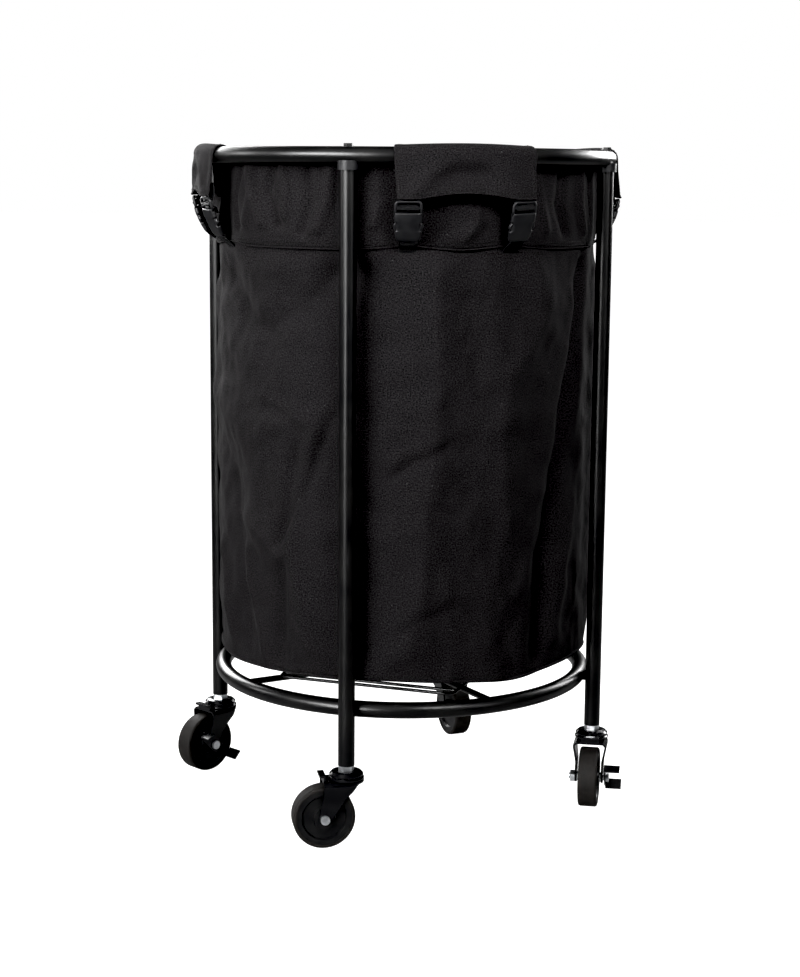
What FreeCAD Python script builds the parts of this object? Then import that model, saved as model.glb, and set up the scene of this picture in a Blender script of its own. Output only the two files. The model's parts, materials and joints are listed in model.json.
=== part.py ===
"""Round rolling laundry cart: a tube frame on four swivel casters that carries a buckled canvas bag.

Frame of the model: millimetres, +Z up, origin on the floor under the middle of the cart.
One post stands at the front (-Y), the others every quarter turn towards the right (+X).
"""
import FreeCAD
import Part
import Sketcher
import math
import os
import re
from FreeCAD import Placement, Rotation, Vector

POSTS = {"front": 0, "right": 90, "back": 180, "left": 270}
CASTER_HEADINGS = {"front": 205, "right": -85, "back": -53, "left": 240}
BRAKED = ("right", "left")
FLAPS = {"front": 30.7, "right": 121.5, "back": 211.5, "left": 296}
X_AXIS = Vector(1, 0, 0)
Z_AXIS = Vector(0, 0, 1)

SIZES = {
    # round tube frame
    "ring_radius": 256.5, "ring_height": 825, "tube_radius": 10, "tube_wall": 1.5,
    "lower_ring_radius": 235.5, "lower_ring_height": 165,
    "post_bottom": 100, "post_top": 812,
    # collar and bolt that join each post to the top ring
    "collar_radius": 13, "collar_bottom": 808, "collar_top": 819, "fit_gap": 0.05,
    "bolt_radius": 3, "bolt_hole_radius": 3.3, "bolt_seat_drop": 0.6, "bolt_length": 40,
    "bolt_head_flats": 10, "bolt_head_height": 4, "insert_length": 20,
    # spacer block welded between the lower ring and each post
    "spacer_width": 7, "spacer_height": 12, "spacer_depth": 7,
    # base grid under the bag
    "bar_radius": 4, "wire_radius": 2, "loop_half_width": 116, "loop_half_depth": 152,
    "loop_corner": 12, "loop_shift": 5, "loop_turn": -5, "stay_gap": 18,
    # bag
    "bag_radius": 237, "cloth": 2, "bag_bottom": 193, "base_thickness": 3, "base_step": 1,
    "base_margin": 2, "bag_top": 826,
    "seam_height": 717, "seam_lap": 6, "header_gap": 0.2,
    # flap over the top ring
    "flap_angle": 37.6, "flap_drop": 54, "flap_gap": 0.4, "flap_tail_radius": 242.5, "flap_tail_drop": 46,
    # straps and buckles
    "strap_width": 25, "strap_thickness": 1.4, "hem_strap_top": 790, "hem_strap_bottom": 765.5,
    "hem_strap_radius": 264.4, "seam_strap_length": 16, "seam_strap_radius": 245.4,
    "seam_strap_height": 721.3, "seam_strap_tilt": 39,
    "buckle_spread": 15.1, "buckle_orbit": 263, "buckle_height": 751, "buckle_tilt": 22,
    "buckle_half_width": 16.5, "ladder_bottom": 11, "ladder_top": 25, "ladder_half_depth": 1.7,
    "ladder_slot": 3, "ladder_slot_low": 14, "ladder_slot_high": 19.5, "prong_length": 20,
    "prong_half_width": 2.2, "prong_offset": 10.5, "prong_half_depth": 1.1,
    "shell_half_depth": 4, "shell_top": 10.7, "shell_bottom": -25, "shell_corner": 5,
    "cavity_half_width": 14, "cavity_half_depth": 1.6, "cavity_depth": 24,
    # caster: heights above the floor, trail behind the swivel axis
    "wheel_radius": 38, "trail": 28, "tread_half_width": 12, "tread_edge": 2.5, "rim_radius": 33.5,
    "rim_half_width": 11, "groove_radius": 27, "web_half_width": 8, "boss_radius": 14,
    "boss_half_width": 13.5, "sleeve_radius": 6, "axle_radius": 4,
    "stem_radius": 5, "stem_top": 124, "stem_hex_flats": 17, "stem_hex_bottom": 94,
    "rivet_radius": 8, "rivet_top": 80.3, "rivet_bottom": 77.6,
    "upper_race_radius": 20.5, "upper_race_bottom": 88.2, "lower_race_top": 87.3,
    "crown_top": 83, "crown_radius": 21.5, "sheet": 2.5,
    "ball_radius": 1.75, "ball_circle": 15, "balls": 12,
    "fork_half_width": 18, "fork_knee": 58, "fork_shoulder": 76, "fork_end_radius": 7.5,
    "fork_rear": 29, "fork_front_high_reach": -12.5, "fork_front_high": 80,
    "fork_front_low_reach": 2, "fork_front_low": 64, "fork_rear_low_reach": 33, "fork_rear_low": 50,
    "fork_rear_high_reach": 30, "fork_rear_high": 66,
    "fork_tab_height": 91, "fork_tab_half_width": 12, "fork_tab_reach": 5,
    "axle_head_radius": 5.7, "axle_head_height": 3.2, "nut_flats": 13, "nut_height": 6,
    # brake lever beside the axle
    "lever_inner": 20.2, "lever_sheet": 2, "lever_reach": 20,
}

# Brake lever outlines in side view: (behind, above) the axle.
LEVER_PLATE = [(24, 13), (18, 21), (-5, 8), (-26, -12), (-20, -20), (5, -8)]
LEVER_HIGH_PAD = [(14, 19), (27, 15), (27.5, 17), (14.5, 21)]
LEVER_LOW_PAD = [(-28, -10), (-18.5, -20), (-20, -21.3), (-29.5, -11.3)]

doc = FreeCAD.newDocument("LaundryCart")
sheet = doc.addObject("Spreadsheet::Sheet", "Sizes")
for row, (alias, number) in enumerate(SIZES.items(), start=1):
    sheet.set(f"A{row}", alias)
    sheet.set(f"B{row}", str(number))
    sheet.setAlias(f"B{row}", alias)
doc.recompute()

nodes = {}


# ---------------------------------------------------------------- helpers

def bound(text):
    """An expression in plain aliases, rewritten to read them from the sheet."""
    return re.sub(r"[a-z_]+", lambda word: "Sizes." + word[0] if word[0] in SIZES else word[0], text)


def value(text):
    """The number that an expression in plain aliases stands for now."""
    result = sheet.evalExpression(bound(str(text)))
    return float(getattr(result, "Value", result))


def drive(thing, prop, text):
    """Bind one property to an expression in plain aliases."""
    thing.setExpression(prop, bound(text))


def fresh(kind, name):
    return doc.addObject(kind, name)


def publish(thing, label, placement=None):
    """Name a finished sub-part, place it and list it for writing."""
    thing.Label = label
    if placement is not None:
        thing.Placement = placement
    nodes[label] = thing
    return thing


def around(angle, x=0.0, y=0.0, z=0.0):
    """A place turned about the cart's axis, from the front towards the right."""
    return Placement(Vector(0, 0, 0), Rotation(Z_AXIS, angle)) * Placement(Vector(x, y, z), Rotation())


def on_ring(angle):
    """The foot point of the post at this angle."""
    return around(angle, y=-value("ring_radius"))


def copies(label, master, placements):
    """One node holding the same piece at several places."""
    links = []
    for place in placements:
        link = fresh("App::Link", label + "_copy")
        link.setLink(master)
        link.LinkTransform = True
        link.Placement = place
        links.append(link)
    group = fresh("Part::Compound", label + "_group")
    group.Links = links
    return publish(group, label)


def cylinder(name, radius, height, bottom="0", place=None):
    thing = fresh("Part::Cylinder", name)
    drive(thing, "Radius", radius)
    drive(thing, "Height", height)
    if place is None:
        drive(thing, "Placement.Base.z", bottom)
    else:
        thing.Placement = place * Placement(Vector(0, 0, value(bottom)), Rotation())
    return thing


def torus(name, orbit, radius, height):
    thing = fresh("Part::Torus", name)
    drive(thing, "Radius1", orbit)
    drive(thing, "Radius2", radius)
    drive(thing, "Placement.Base.z", height)
    return thing


def block(name, low, high):
    """A box between two corners given as expressions."""
    thing = fresh("Part::Box", name)
    for side, prop, start, end in zip("xyz", ("Length", "Width", "Height"), low, high):
        drive(thing, prop, f"({end}) - ({start})")
        drive(thing, f"Placement.Base.{side}", start)
    return thing


def cut(name, base, *tools):
    tool = tools[0]
    if len(tools) > 1:
        tool = fresh("Part::Compound", name + "_tools")
        tool.Links = list(tools)
    thing = fresh("Part::Cut", name)
    thing.Base = base
    thing.Tool = tool
    return thing


def fuse(name, *pieces):
    thing = fresh("Part::MultiFuse", name)
    thing.Shapes = list(pieces)
    return thing


def common(name, *pieces):
    thing = fresh("Part::MultiCommon", name)
    thing.Shapes = list(pieces)
    return thing


def fix_point(sketch, geometry, end, point):
    """Hold a sketch point at two expressions; None leaves that direction free."""
    for kind, text in zip(("DistanceX", "DistanceY"), point):
        if text is not None:
            index = sketch.addConstraint(Sketcher.Constraint(kind, -1, 1, geometry, end, value(text)))
            drive(sketch, f"Constraints[{index}]", text)


def draw_outline(sketch, points):
    """A closed outline of straight lines through points given as expressions."""
    spots = [Vector(value(x), value(y), 0) for x, y in points]
    count = len(points)
    for i in range(count):
        sketch.addGeometry(Part.LineSegment(spots[i], spots[(i + 1) % count]))
    for i in range(count):
        sketch.addConstraint(Sketcher.Constraint("Coincident", i, 2, (i + 1) % count, 1))
    for i, point in enumerate(points):
        fix_point(sketch, i, 1, point)


def draw_circle(sketch, radius, x="0", y="0"):
    centre = Vector(value(x), value(y), 0)
    index = sketch.addGeometry(Part.Circle(centre, Z_AXIS, value(radius)))
    limit = sketch.addConstraint(Sketcher.Constraint("Radius", index, value(radius)))
    drive(sketch, f"Constraints[{limit}]", radius)
    fix_point(sketch, index, 3, (x, y))


def draw_hexagon(sketch, flats):
    """A hexagon of a given width across its flats, centred on the origin."""
    angles = [f"{30 + 60 * i}" for i in range(6)]
    draw_outline(sketch, [(f"{flats} / sqrt(3) * cos({a} * 1 deg)", f"{flats} / sqrt(3) * sin({a} * 1 deg)")
                          for a in angles])


def new_body(name):
    return fresh("PartDesign::Body", name)


def new_sketch(body, role="XY_Plane", shift="0"):
    """A sketch on one of the body's own origin planes, moved along its normal."""
    sketch = body.newObject("Sketcher::SketchObject", body.Name + "_sketch")
    plane = next(f for f in body.Origin.OriginFeatures if f.Role == role)
    sketch.AttachmentSupport = [(plane, "")]
    sketch.MapMode = "FlatFace"
    drive(sketch, "AttachmentOffset.Base.z", shift)
    return sketch


def pad(body, sketch, length):
    feature = body.newObject("PartDesign::Pad", body.Name + "_pad")
    feature.Profile = sketch
    drive(feature, "Length", length)
    return feature


def revolve(body, sketch, angle="360", middle=False):
    """Turn a profile about the sketch's upright axis."""
    feature = body.newObject("PartDesign::Revolution", body.Name + "_revolution")
    feature.Profile = sketch
    feature.ReferenceAxis = (sketch, ["V_Axis"])
    drive(feature, "Angle", angle)
    feature.Midplane = middle
    return feature


def turned(name, points):
    """A round piece about Z from its half section of (radius, height) points."""
    body = new_body(name)
    sketch = new_sketch(body, "XZ_Plane")
    draw_outline(sketch, points)
    revolve(body, sketch)
    return body


def extruded(name, plane_rotation, points, start, end):
    """A plate: an outline drawn in a turned plane and given a thickness along its normal."""
    sketch = fresh("Sketcher::SketchObject", name + "_outline")
    lift = Placement(Vector(0, 0, value(start)), Rotation())
    sketch.Placement = Placement(Vector(0, 0, 0), plane_rotation) * lift
    draw_outline(sketch, points)
    thing = fresh("Part::Extrusion", name)
    thing.Base = sketch
    thing.DirMode = "Normal"
    drive(thing, "LengthFwd", f"({end}) - ({start})")
    thing.Solid = True
    return thing


# Sketch planes of the caster: side view (x to X, y to Z) and front view (x to Y, y to Z).
SIDE_VIEW = Rotation(X_AXIS, 90)
FRONT_VIEW = Rotation(Vector(0, 1, 0), 90) * Rotation(Z_AXIS, 90)

# Height of the ball circle, half way between the two races.
BALL_LEVEL = "(upper_race_bottom + lower_race_top) / 2"


# ---------------------------------------------------------------- tube frame

def make_top_ring():
    outer = torus("top_ring_outer", "ring_radius", "tube_radius", "ring_height")
    inner = torus("top_ring_bore", "ring_radius", "tube_radius - tube_wall", "ring_height")
    tools = [inner]
    for name, angle in POSTS.items():
        tools.append(cylinder("ring_hole_" + name, "bolt_hole_radius", "4 * tube_radius",
                              "ring_height - 2 * tube_radius", on_ring(angle)))
        tools.append(cylinder("ring_seat_" + name, "bolt_head_flats * 0.65", "tube_radius",
                              "ring_height + tube_radius - bolt_seat_drop", on_ring(angle)))
    ring = outer
    for index, tool in enumerate(tools):
        ring = cut(f"top_ring_cut_{index}", ring, tool)
    publish(ring, "top_ring")


def make_lower_ring():
    outer = torus("lower_ring_outer", "lower_ring_radius", "tube_radius", "lower_ring_height")
    inner = torus("lower_ring_bore", "lower_ring_radius", "tube_radius - tube_wall", "lower_ring_height")
    publish(cut("lower_ring_cut", outer, inner), "lower_ring")


def make_posts():
    for name, angle in POSTS.items():
        body = new_body("post_" + name)
        sketch = new_sketch(body, shift="post_bottom")
        draw_circle(sketch, "tube_radius")
        draw_circle(sketch, "tube_radius - tube_wall")
        pad(body, sketch, "post_top - post_bottom")
        publish(body, "post_" + name, on_ring(angle))


def make_collars():
    """Collar at each post's top, scooped out by the ring above and bored for the post below."""
    solid = cylinder("collar_solid", "collar_radius", "collar_top - collar_bottom", "collar_bottom")
    scoop = torus("collar_scoop", "ring_radius", "tube_radius + fit_gap", "ring_height")
    scoop.Placement.Base = Vector(0, value("ring_radius"), value("ring_height"))
    socket = cylinder("collar_socket", "tube_radius + fit_gap", "post_top - collar_bottom + 2 * fit_gap",
                      "collar_bottom - fit_gap")
    bore = cylinder("collar_bore", "bolt_hole_radius", "4 * tube_radius", "collar_bottom - tube_radius")
    collar = cut("collar_master", solid, scoop)
    collar = cut("collar_socketed", collar, socket)
    collar = cut("collar_bored", collar, bore)
    copies("saddle_collars", collar, [on_ring(a) for a in POSTS.values()])


def make_bolts():
    body = new_body("ring_bolt")
    seat = "ring_height + tube_radius - bolt_seat_drop"
    head = new_sketch(body, shift=seat)
    draw_hexagon(head, "bolt_head_flats")
    pad(body, head, "bolt_head_height")
    shank = new_sketch(body, shift=f"{seat} - bolt_length")
    draw_circle(shank, "bolt_radius")
    pad(body, shank, "bolt_length")
    copies("ring_bolts", body, [on_ring(a) for a in POSTS.values()])


def make_inserts():
    """Threaded plugs inside the posts: one for the ring bolt, one for the caster stem."""
    top = new_body("top_insert")
    sketch = new_sketch(top, shift="post_top - insert_length")
    draw_circle(sketch, "tube_radius - tube_wall - fit_gap")
    draw_circle(sketch, "bolt_radius + 0.02")
    pad(top, sketch, "insert_length")
    copies("post_top_inserts", top, [on_ring(a) for a in POSTS.values()])
    foot = new_body("foot_insert")
    sketch = new_sketch(foot, shift="post_bottom")
    draw_circle(sketch, "tube_radius - tube_wall - fit_gap")
    draw_circle(sketch, "stem_radius + 0.02")
    pad(foot, sketch, "stem_top - post_bottom + 2")
    copies("post_foot_inserts", foot, [on_ring(a) for a in POSTS.values()])


def make_spacers():
    """Small welded block that closes the gap between the lower ring and a post."""
    solid = block("spacer_solid", ("-spacer_width / 2", "tube_radius - spacer_depth / 2 + 0.5",
                                   "lower_ring_height - spacer_height / 2"),
                  ("spacer_width / 2", "tube_radius + spacer_depth / 2 + 0.5",
                   "lower_ring_height + spacer_height / 2"))
    ring = torus("spacer_scoop", "lower_ring_radius", "tube_radius", "lower_ring_height")
    ring.Placement.Base = Vector(0, value("ring_radius"), value("lower_ring_height"))
    post = cylinder("spacer_post", "tube_radius", "4 * tube_radius", "lower_ring_height - 2 * tube_radius")
    spacer = cut("spacer_cut_ring", solid, ring)
    spacer = cut("spacer_cut_post", spacer, post)
    copies("lower_ring_spacers", spacer, [on_ring(a) for a in POSTS.values()])


# ---------------------------------------------------------------- base grid

def make_cross_bars():
    """One whole bar and two half bars that meet it, coped into the lower ring."""
    bars = []
    for name, angle in (("long", 45), ("short", 135)):
        lying = Placement(Vector(0, 0, value("lower_ring_height")),
                          Rotation(Z_AXIS, angle) * Rotation(X_AXIS, 90))
        bar = cylinder("bar_" + name, "bar_radius", "2 * lower_ring_radius - tube_radius",
                       "-lower_ring_radius + tube_radius / 2", lying)
        ring = torus("bar_cope_" + name, "lower_ring_radius", "tube_radius", "lower_ring_height")
        bars.append((bar, ring))
    long_bar = cut("long_bar_coped", *bars[0])
    publish(long_bar, "cross_bar_long")
    lying = Placement(Vector(0, 0, value("lower_ring_height")), Rotation(Z_AXIS, 45) * Rotation(X_AXIS, 90))
    middle = cylinder("bar_middle", "bar_radius", "2 * lower_ring_radius", "-lower_ring_radius", lying)
    halves = cut("short_bar_coped", *bars[1])
    publish(cut("short_bar_split", halves, middle), "cross_bar_halves")


def draw_rounded_rectangle(sketch, half_x, half_y, corner):
    """Four sides joined by four tangent corner arcs, centred on the origin."""
    wide, deep, bend = value(half_x), value(half_y), value(corner)
    turns = [(wide - bend, -deep + bend), (wide - bend, deep - bend), (-wide + bend, deep - bend),
             (-wide + bend, -deep + bend)]
    arcs = []
    for i, (x, y) in enumerate(turns):
        start = math.radians(-90 + 90 * i)
        circle = Part.Circle(Vector(x, y, 0), Z_AXIS, bend)
        arcs.append(sketch.addGeometry(Part.ArcOfCircle(circle, start, start + math.pi / 2)))
    sides = []
    for i in range(4):
        first, second = sketch.Geometry[arcs[i]], sketch.Geometry[arcs[(i + 1) % 4]]
        sides.append(sketch.addGeometry(Part.LineSegment(first.EndPoint, second.StartPoint)))
    for i in range(4):
        sketch.addConstraint(Sketcher.Constraint("Tangent", arcs[i], 2, sides[i], 1))
        sketch.addConstraint(Sketcher.Constraint("Tangent", sides[i], 2, arcs[(i + 1) % 4], 1))
    signs = [(1, -1), (1, 1), (-1, 1), (-1, -1)]
    fix_point(sketch, arcs[0], 3, (f"{half_x} - {corner}", f"-({half_y} - {corner})"))
    limit = sketch.addConstraint(Sketcher.Constraint("Radius", arcs[0], bend))
    drive(sketch, f"Constraints[{limit}]", corner)
    for arc, (sx, sy) in list(zip(arcs, signs))[1:]:
        fix_point(sketch, arc, 3, (f"{sx} * ({half_x} - {corner})", f"{sy} * ({half_y} - {corner})"))


def make_base_wires():
    """Rounded wire loop lying on the bars, with one stay inside its front and back sides."""
    level = "lower_ring_height + bar_radius + wire_radius"
    turn = Placement(Vector(value("loop_shift"), 0, 0), Rotation(Z_AXIS, value("loop_turn")))
    body = new_body("wire_loop")
    path = new_sketch(body, shift=level)
    draw_rounded_rectangle(path, "loop_half_width", "loop_half_depth", "loop_corner")
    section = new_sketch(body, "YZ_Plane")
    draw_circle(section, "wire_radius", "-loop_half_depth", level)
    pipe = body.newObject("PartDesign::AdditivePipe", "wire_loop_pipe")
    pipe.Profile = section
    pipe.Spine = path
    publish(body, "base_wire_loop", turn)

    stays = []
    for side in (-1, 1):
        lying = Placement(Vector(0, side * value("loop_half_depth - stay_gap"), value(level)),
                          Rotation(Vector(0, 1, 0), 90))
        stays.append(cylinder("stay_wire", "wire_radius", "2 * (loop_half_width - wire_radius)",
                              "wire_radius - loop_half_width", lying))
    pair = fresh("Part::Compound", "stay_pair")
    pair.Links = stays
    publish(pair, "base_wire_stays", turn)


# ---------------------------------------------------------------- bag

def make_bag():
    """Wall standing on the rim of the base panel, and the doubled header outside its upper edge."""
    outer, inner = "bag_radius", "bag_radius - cloth"
    floor = "bag_bottom + base_thickness"
    rim, board = f"{floor} - base_step", f"{inner} - base_margin"
    wall_top = "seam_height + seam_lap"
    publish(turned("bag_wall_body", [(inner, rim), (outer, rim), (outer, wall_top), (inner, wall_top)]),
            "bag_wall")
    publish(turned("bag_base_body", [("0", "bag_bottom"), (outer, "bag_bottom"), (outer, rim), (board, rim),
                                     (board, floor), ("0", floor)]), "bag_base")
    low, high = "bag_radius + header_gap", "bag_radius + header_gap + cloth"
    publish(turned("bag_header_body", [(low, "seam_height"), (high, "seam_height"), (high, "bag_top"),
                                       (low, "bag_top")]), "bag_header")


def draw_flap_section(sketch):
    """Strip of cloth over the ring tube: outside leg, half turn over the tube, inside leg to the header."""
    near = "tube_radius + flap_gap"
    far = "tube_radius + flap_gap + cloth"
    hem = "ring_height - flap_drop"
    tail = "ring_height - flap_tail_drop"
    centre = Vector(value("ring_radius"), value("ring_height"), 0)
    half_turn = (0, math.pi)
    over = sketch.addGeometry(Part.ArcOfCircle(Part.Circle(centre, Z_AXIS, value(far)), *half_turn))
    under = sketch.addGeometry(Part.ArcOfCircle(Part.Circle(centre, Z_AXIS, value(near)), *half_turn))
    corners = [
        (f"ring_radius + {far}", "ring_height"), (f"ring_radius + {far}", hem),
        (f"ring_radius + {near}", hem), (f"ring_radius + {near}", "ring_height"),
        (f"ring_radius - ({near})", "ring_height"), ("flap_tail_radius + cloth / 2", tail),
        ("flap_tail_radius - cloth / 2", tail), (f"ring_radius - ({far})", "ring_height"),
    ]
    spots = [Vector(value(x), value(y), 0) for x, y in corners]
    lines = [sketch.addGeometry(Part.LineSegment(spots[i], spots[i + 1])) for i in (0, 1, 2, 4, 5, 6)]
    for arc, radius in ((over, far), (under, near)):
        fix_point(sketch, arc, 3, ("ring_radius", "ring_height"))
        limit = sketch.addConstraint(Sketcher.Constraint("Radius", arc, value(radius)))
        drive(sketch, f"Constraints[{limit}]", radius)
        for end in (1, 2):
            fix_point(sketch, arc, end, (None, "ring_height"))
    joints = [(over, 1, lines[0], 1), (lines[0], 2, lines[1], 1), (lines[1], 2, lines[2], 1),
              (lines[2], 2, under, 1), (under, 2, lines[3], 1), (lines[3], 2, lines[4], 1),
              (lines[4], 2, lines[5], 1), (lines[5], 2, over, 2)]
    for joint in joints:
        sketch.addConstraint(Sketcher.Constraint("Coincident", *joint))
    fix_point(sketch, lines[0], 2, corners[1])
    fix_point(sketch, lines[1], 2, corners[2])
    fix_point(sketch, lines[3], 2, corners[5])
    fix_point(sketch, lines[4], 2, corners[6])


def make_flaps():
    """The section is drawn to the right of the axis, so each flap turns back a quarter turn first."""
    for name, angle in FLAPS.items():
        body = new_body("flap_" + name)
        sketch = new_sketch(body, "XZ_Plane")
        draw_flap_section(sketch)
        revolve(body, sketch, "flap_angle", middle=True)
        publish(body, "flap_" + name, around(angle - 90))


# ---------------------------------------------------------------- straps and buckles

def buckle_angles():
    spread = value("buckle_spread")
    return [angle + side * spread for angle in FLAPS.values() for side in (-1, 1)]


def buckle_places():
    tilt = Placement(Vector(0, 0, 0), Rotation(X_AXIS, value("buckle_tilt")))
    return [around(a, y=-value("buckle_orbit"), z=value("buckle_height")) * tilt for a in buckle_angles()]


def make_straps():
    half = "strap_width / 2"
    thick = "strap_thickness / 2"
    hem = block("hem_strap", (f"-{half}", f"-hem_strap_radius - {thick}", "hem_strap_bottom"),
                (half, f"-hem_strap_radius + {thick}", "hem_strap_top"))
    copies("hem_straps", hem, [around(a) for a in buckle_angles()])
    seam = block("seam_strap", (f"-{half}", f"-{thick}", "-seam_strap_length / 2"),
                 (half, thick, "seam_strap_length / 2"))
    lean = Placement(Vector(0, 0, 0), Rotation(X_AXIS, value("seam_strap_tilt")))
    places = [around(a, y=-value("seam_strap_radius"), z=value("seam_strap_height")) * lean
              for a in buckle_angles()]
    copies("seam_straps", seam, places)


def make_buckle_ladder():
    """Latch half: a two-slot ladder plate with a middle guide and two side prongs."""
    side = "buckle_half_width"
    plate = block("ladder_plate", (f"-{side}", "-ladder_half_depth", "ladder_bottom"),
                  (side, "ladder_half_depth", "ladder_top"))
    slots = []
    for low in ("ladder_slot_low", "ladder_slot_high"):
        slots.append(block("ladder_slot", ("-strap_width / 2 - 0.5", "-2 * ladder_half_depth", low),
                           ("strap_width / 2 + 0.5", "2 * ladder_half_depth", f"{low} + ladder_slot")))
    prongs = []
    for offset in ("0", "-prong_offset", "prong_offset"):
        prongs.append(block("ladder_prong", (f"{offset} - prong_half_width", "-prong_half_depth",
                                             "ladder_bottom - prong_length"),
                            (f"{offset} + prong_half_width", "prong_half_depth", "ladder_bottom + 1")))
    copies("buckle_ladders", fuse("ladder", cut("ladder_slotted", plate, *slots), *prongs), buckle_places())


def make_buckle_shell():
    """Socket half: a rounded cover that takes the prongs, with a bar for the lower strap."""
    body = new_body("shell_body")
    sketch = new_sketch(body, "XZ_Plane", "-shell_half_depth")
    side, low, high = "buckle_half_width", "shell_bottom", "shell_top"
    step = "shell_corner"
    draw_outline(sketch, [(f"-{side} + {step}", low), (f"{side} - {step}", low), (side, f"{low} + {step}"),
                          (side, high), (f"-{side}", high), (f"-{side}", f"{low} + {step}")])
    pad(body, sketch, "2 * shell_half_depth")
    cavity = block("shell_cavity", ("-cavity_half_width", "-cavity_half_depth", "shell_top - cavity_depth"),
                   ("cavity_half_width", "cavity_half_depth", "shell_top + 1"))
    slot = block("shell_slot", ("-strap_width / 2 - 0.5", "-2 * shell_half_depth", "shell_bottom + 3"),
                 ("strap_width / 2 + 0.5", "2 * shell_half_depth", "shell_bottom + 6"))
    copies("buckle_shells", cut("shell", body, cavity, slot), buckle_places())


# ---------------------------------------------------------------- casters

def caster_place(name):
    """Caster frame: floor point under the swivel axis, +X along the trail."""
    return on_ring(POSTS[name]) * Placement(Vector(0, 0, 0),
                                            Rotation(Z_AXIS, CASTER_HEADINGS[name] - POSTS[name]))


def axle_line(start="0"):
    """The axle in the caster frame, from a point along it, +Z towards the bolt's head."""
    middle = Placement(Vector(value("trail"), 0, value("wheel_radius")), Rotation(X_AXIS, -90))
    return middle * Placement(Vector(0, 0, value(start)), Rotation())


def axle_place(name):
    """Axle frame: centre of the wheel, +Z along the axle to the side of the bolt's head."""
    return caster_place(name) * axle_line()


def make_stems():
    """Threaded stem, hexagon, kingpin and riveted end in one piece, fixed to the post."""
    body = new_body("stem_body")
    sketch = new_sketch(body, shift="rivet_bottom")
    draw_circle(sketch, "stem_radius")
    pad(body, sketch, "stem_top - rivet_bottom")
    hexagon = new_sketch(body, shift="stem_hex_bottom")
    draw_hexagon(hexagon, "stem_hex_flats")
    pad(body, hexagon, "post_bottom - stem_hex_bottom")
    rivet = new_sketch(body, shift="rivet_bottom")
    draw_circle(rivet, "rivet_radius")
    pad(body, rivet, "rivet_top - rivet_bottom")
    copies("caster_stems", body, [on_ring(a) for a in POSTS.values()])


def make_upper_races():
    bore, rim = "stem_radius + fit_gap", "upper_race_radius"
    low, top = "upper_race_bottom", "stem_hex_bottom"
    dome = turned("upper_race_body", [
        (bore, low), (rim, low), (rim, f"{low} + 2"), (f"{rim} - 2.5", f"{top} - 1.2"),
        (f"{rim} - 7", top), (bore, top)])
    groove = torus("upper_groove", "ball_circle", "ball_radius + fit_gap", BALL_LEVEL)
    copies("upper_races", cut("upper_race", dome, groove), [on_ring(a) for a in POSTS.values()])


def make_balls():
    ball = fresh("Part::Sphere", "ball")
    drive(ball, "Radius", "ball_radius")
    count = int(value("balls"))
    spot = Placement(Vector(value("ball_circle"), 0, value(BALL_LEVEL)), Rotation())
    places = [on_ring(angle) * Placement(Vector(0, 0, 0), Rotation(Z_AXIS, 360 * i / count)) * spot
              for angle in POSTS.values() for i in range(count)]
    copies("race_balls", ball, places)


def make_lower_race(name):
    bore, rim, low, top = "stem_radius + fit_gap", "crown_radius", "crown_top", "lower_race_top"
    dish = turned("lower_race_body_" + name, [(bore, low), (f"{rim} - 1", low), (rim, f"{low} + 1"),
                                              (rim, f"{top} - 1.5"), (f"{rim} - 1.5", top), (bore, top)])
    groove = torus("lower_groove_" + name, "ball_circle", "ball_radius + fit_gap", BALL_LEVEL)
    publish(cut("lower_race_cut_" + name, dish, groove), "lower_race_" + name, caster_place(name))


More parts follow.
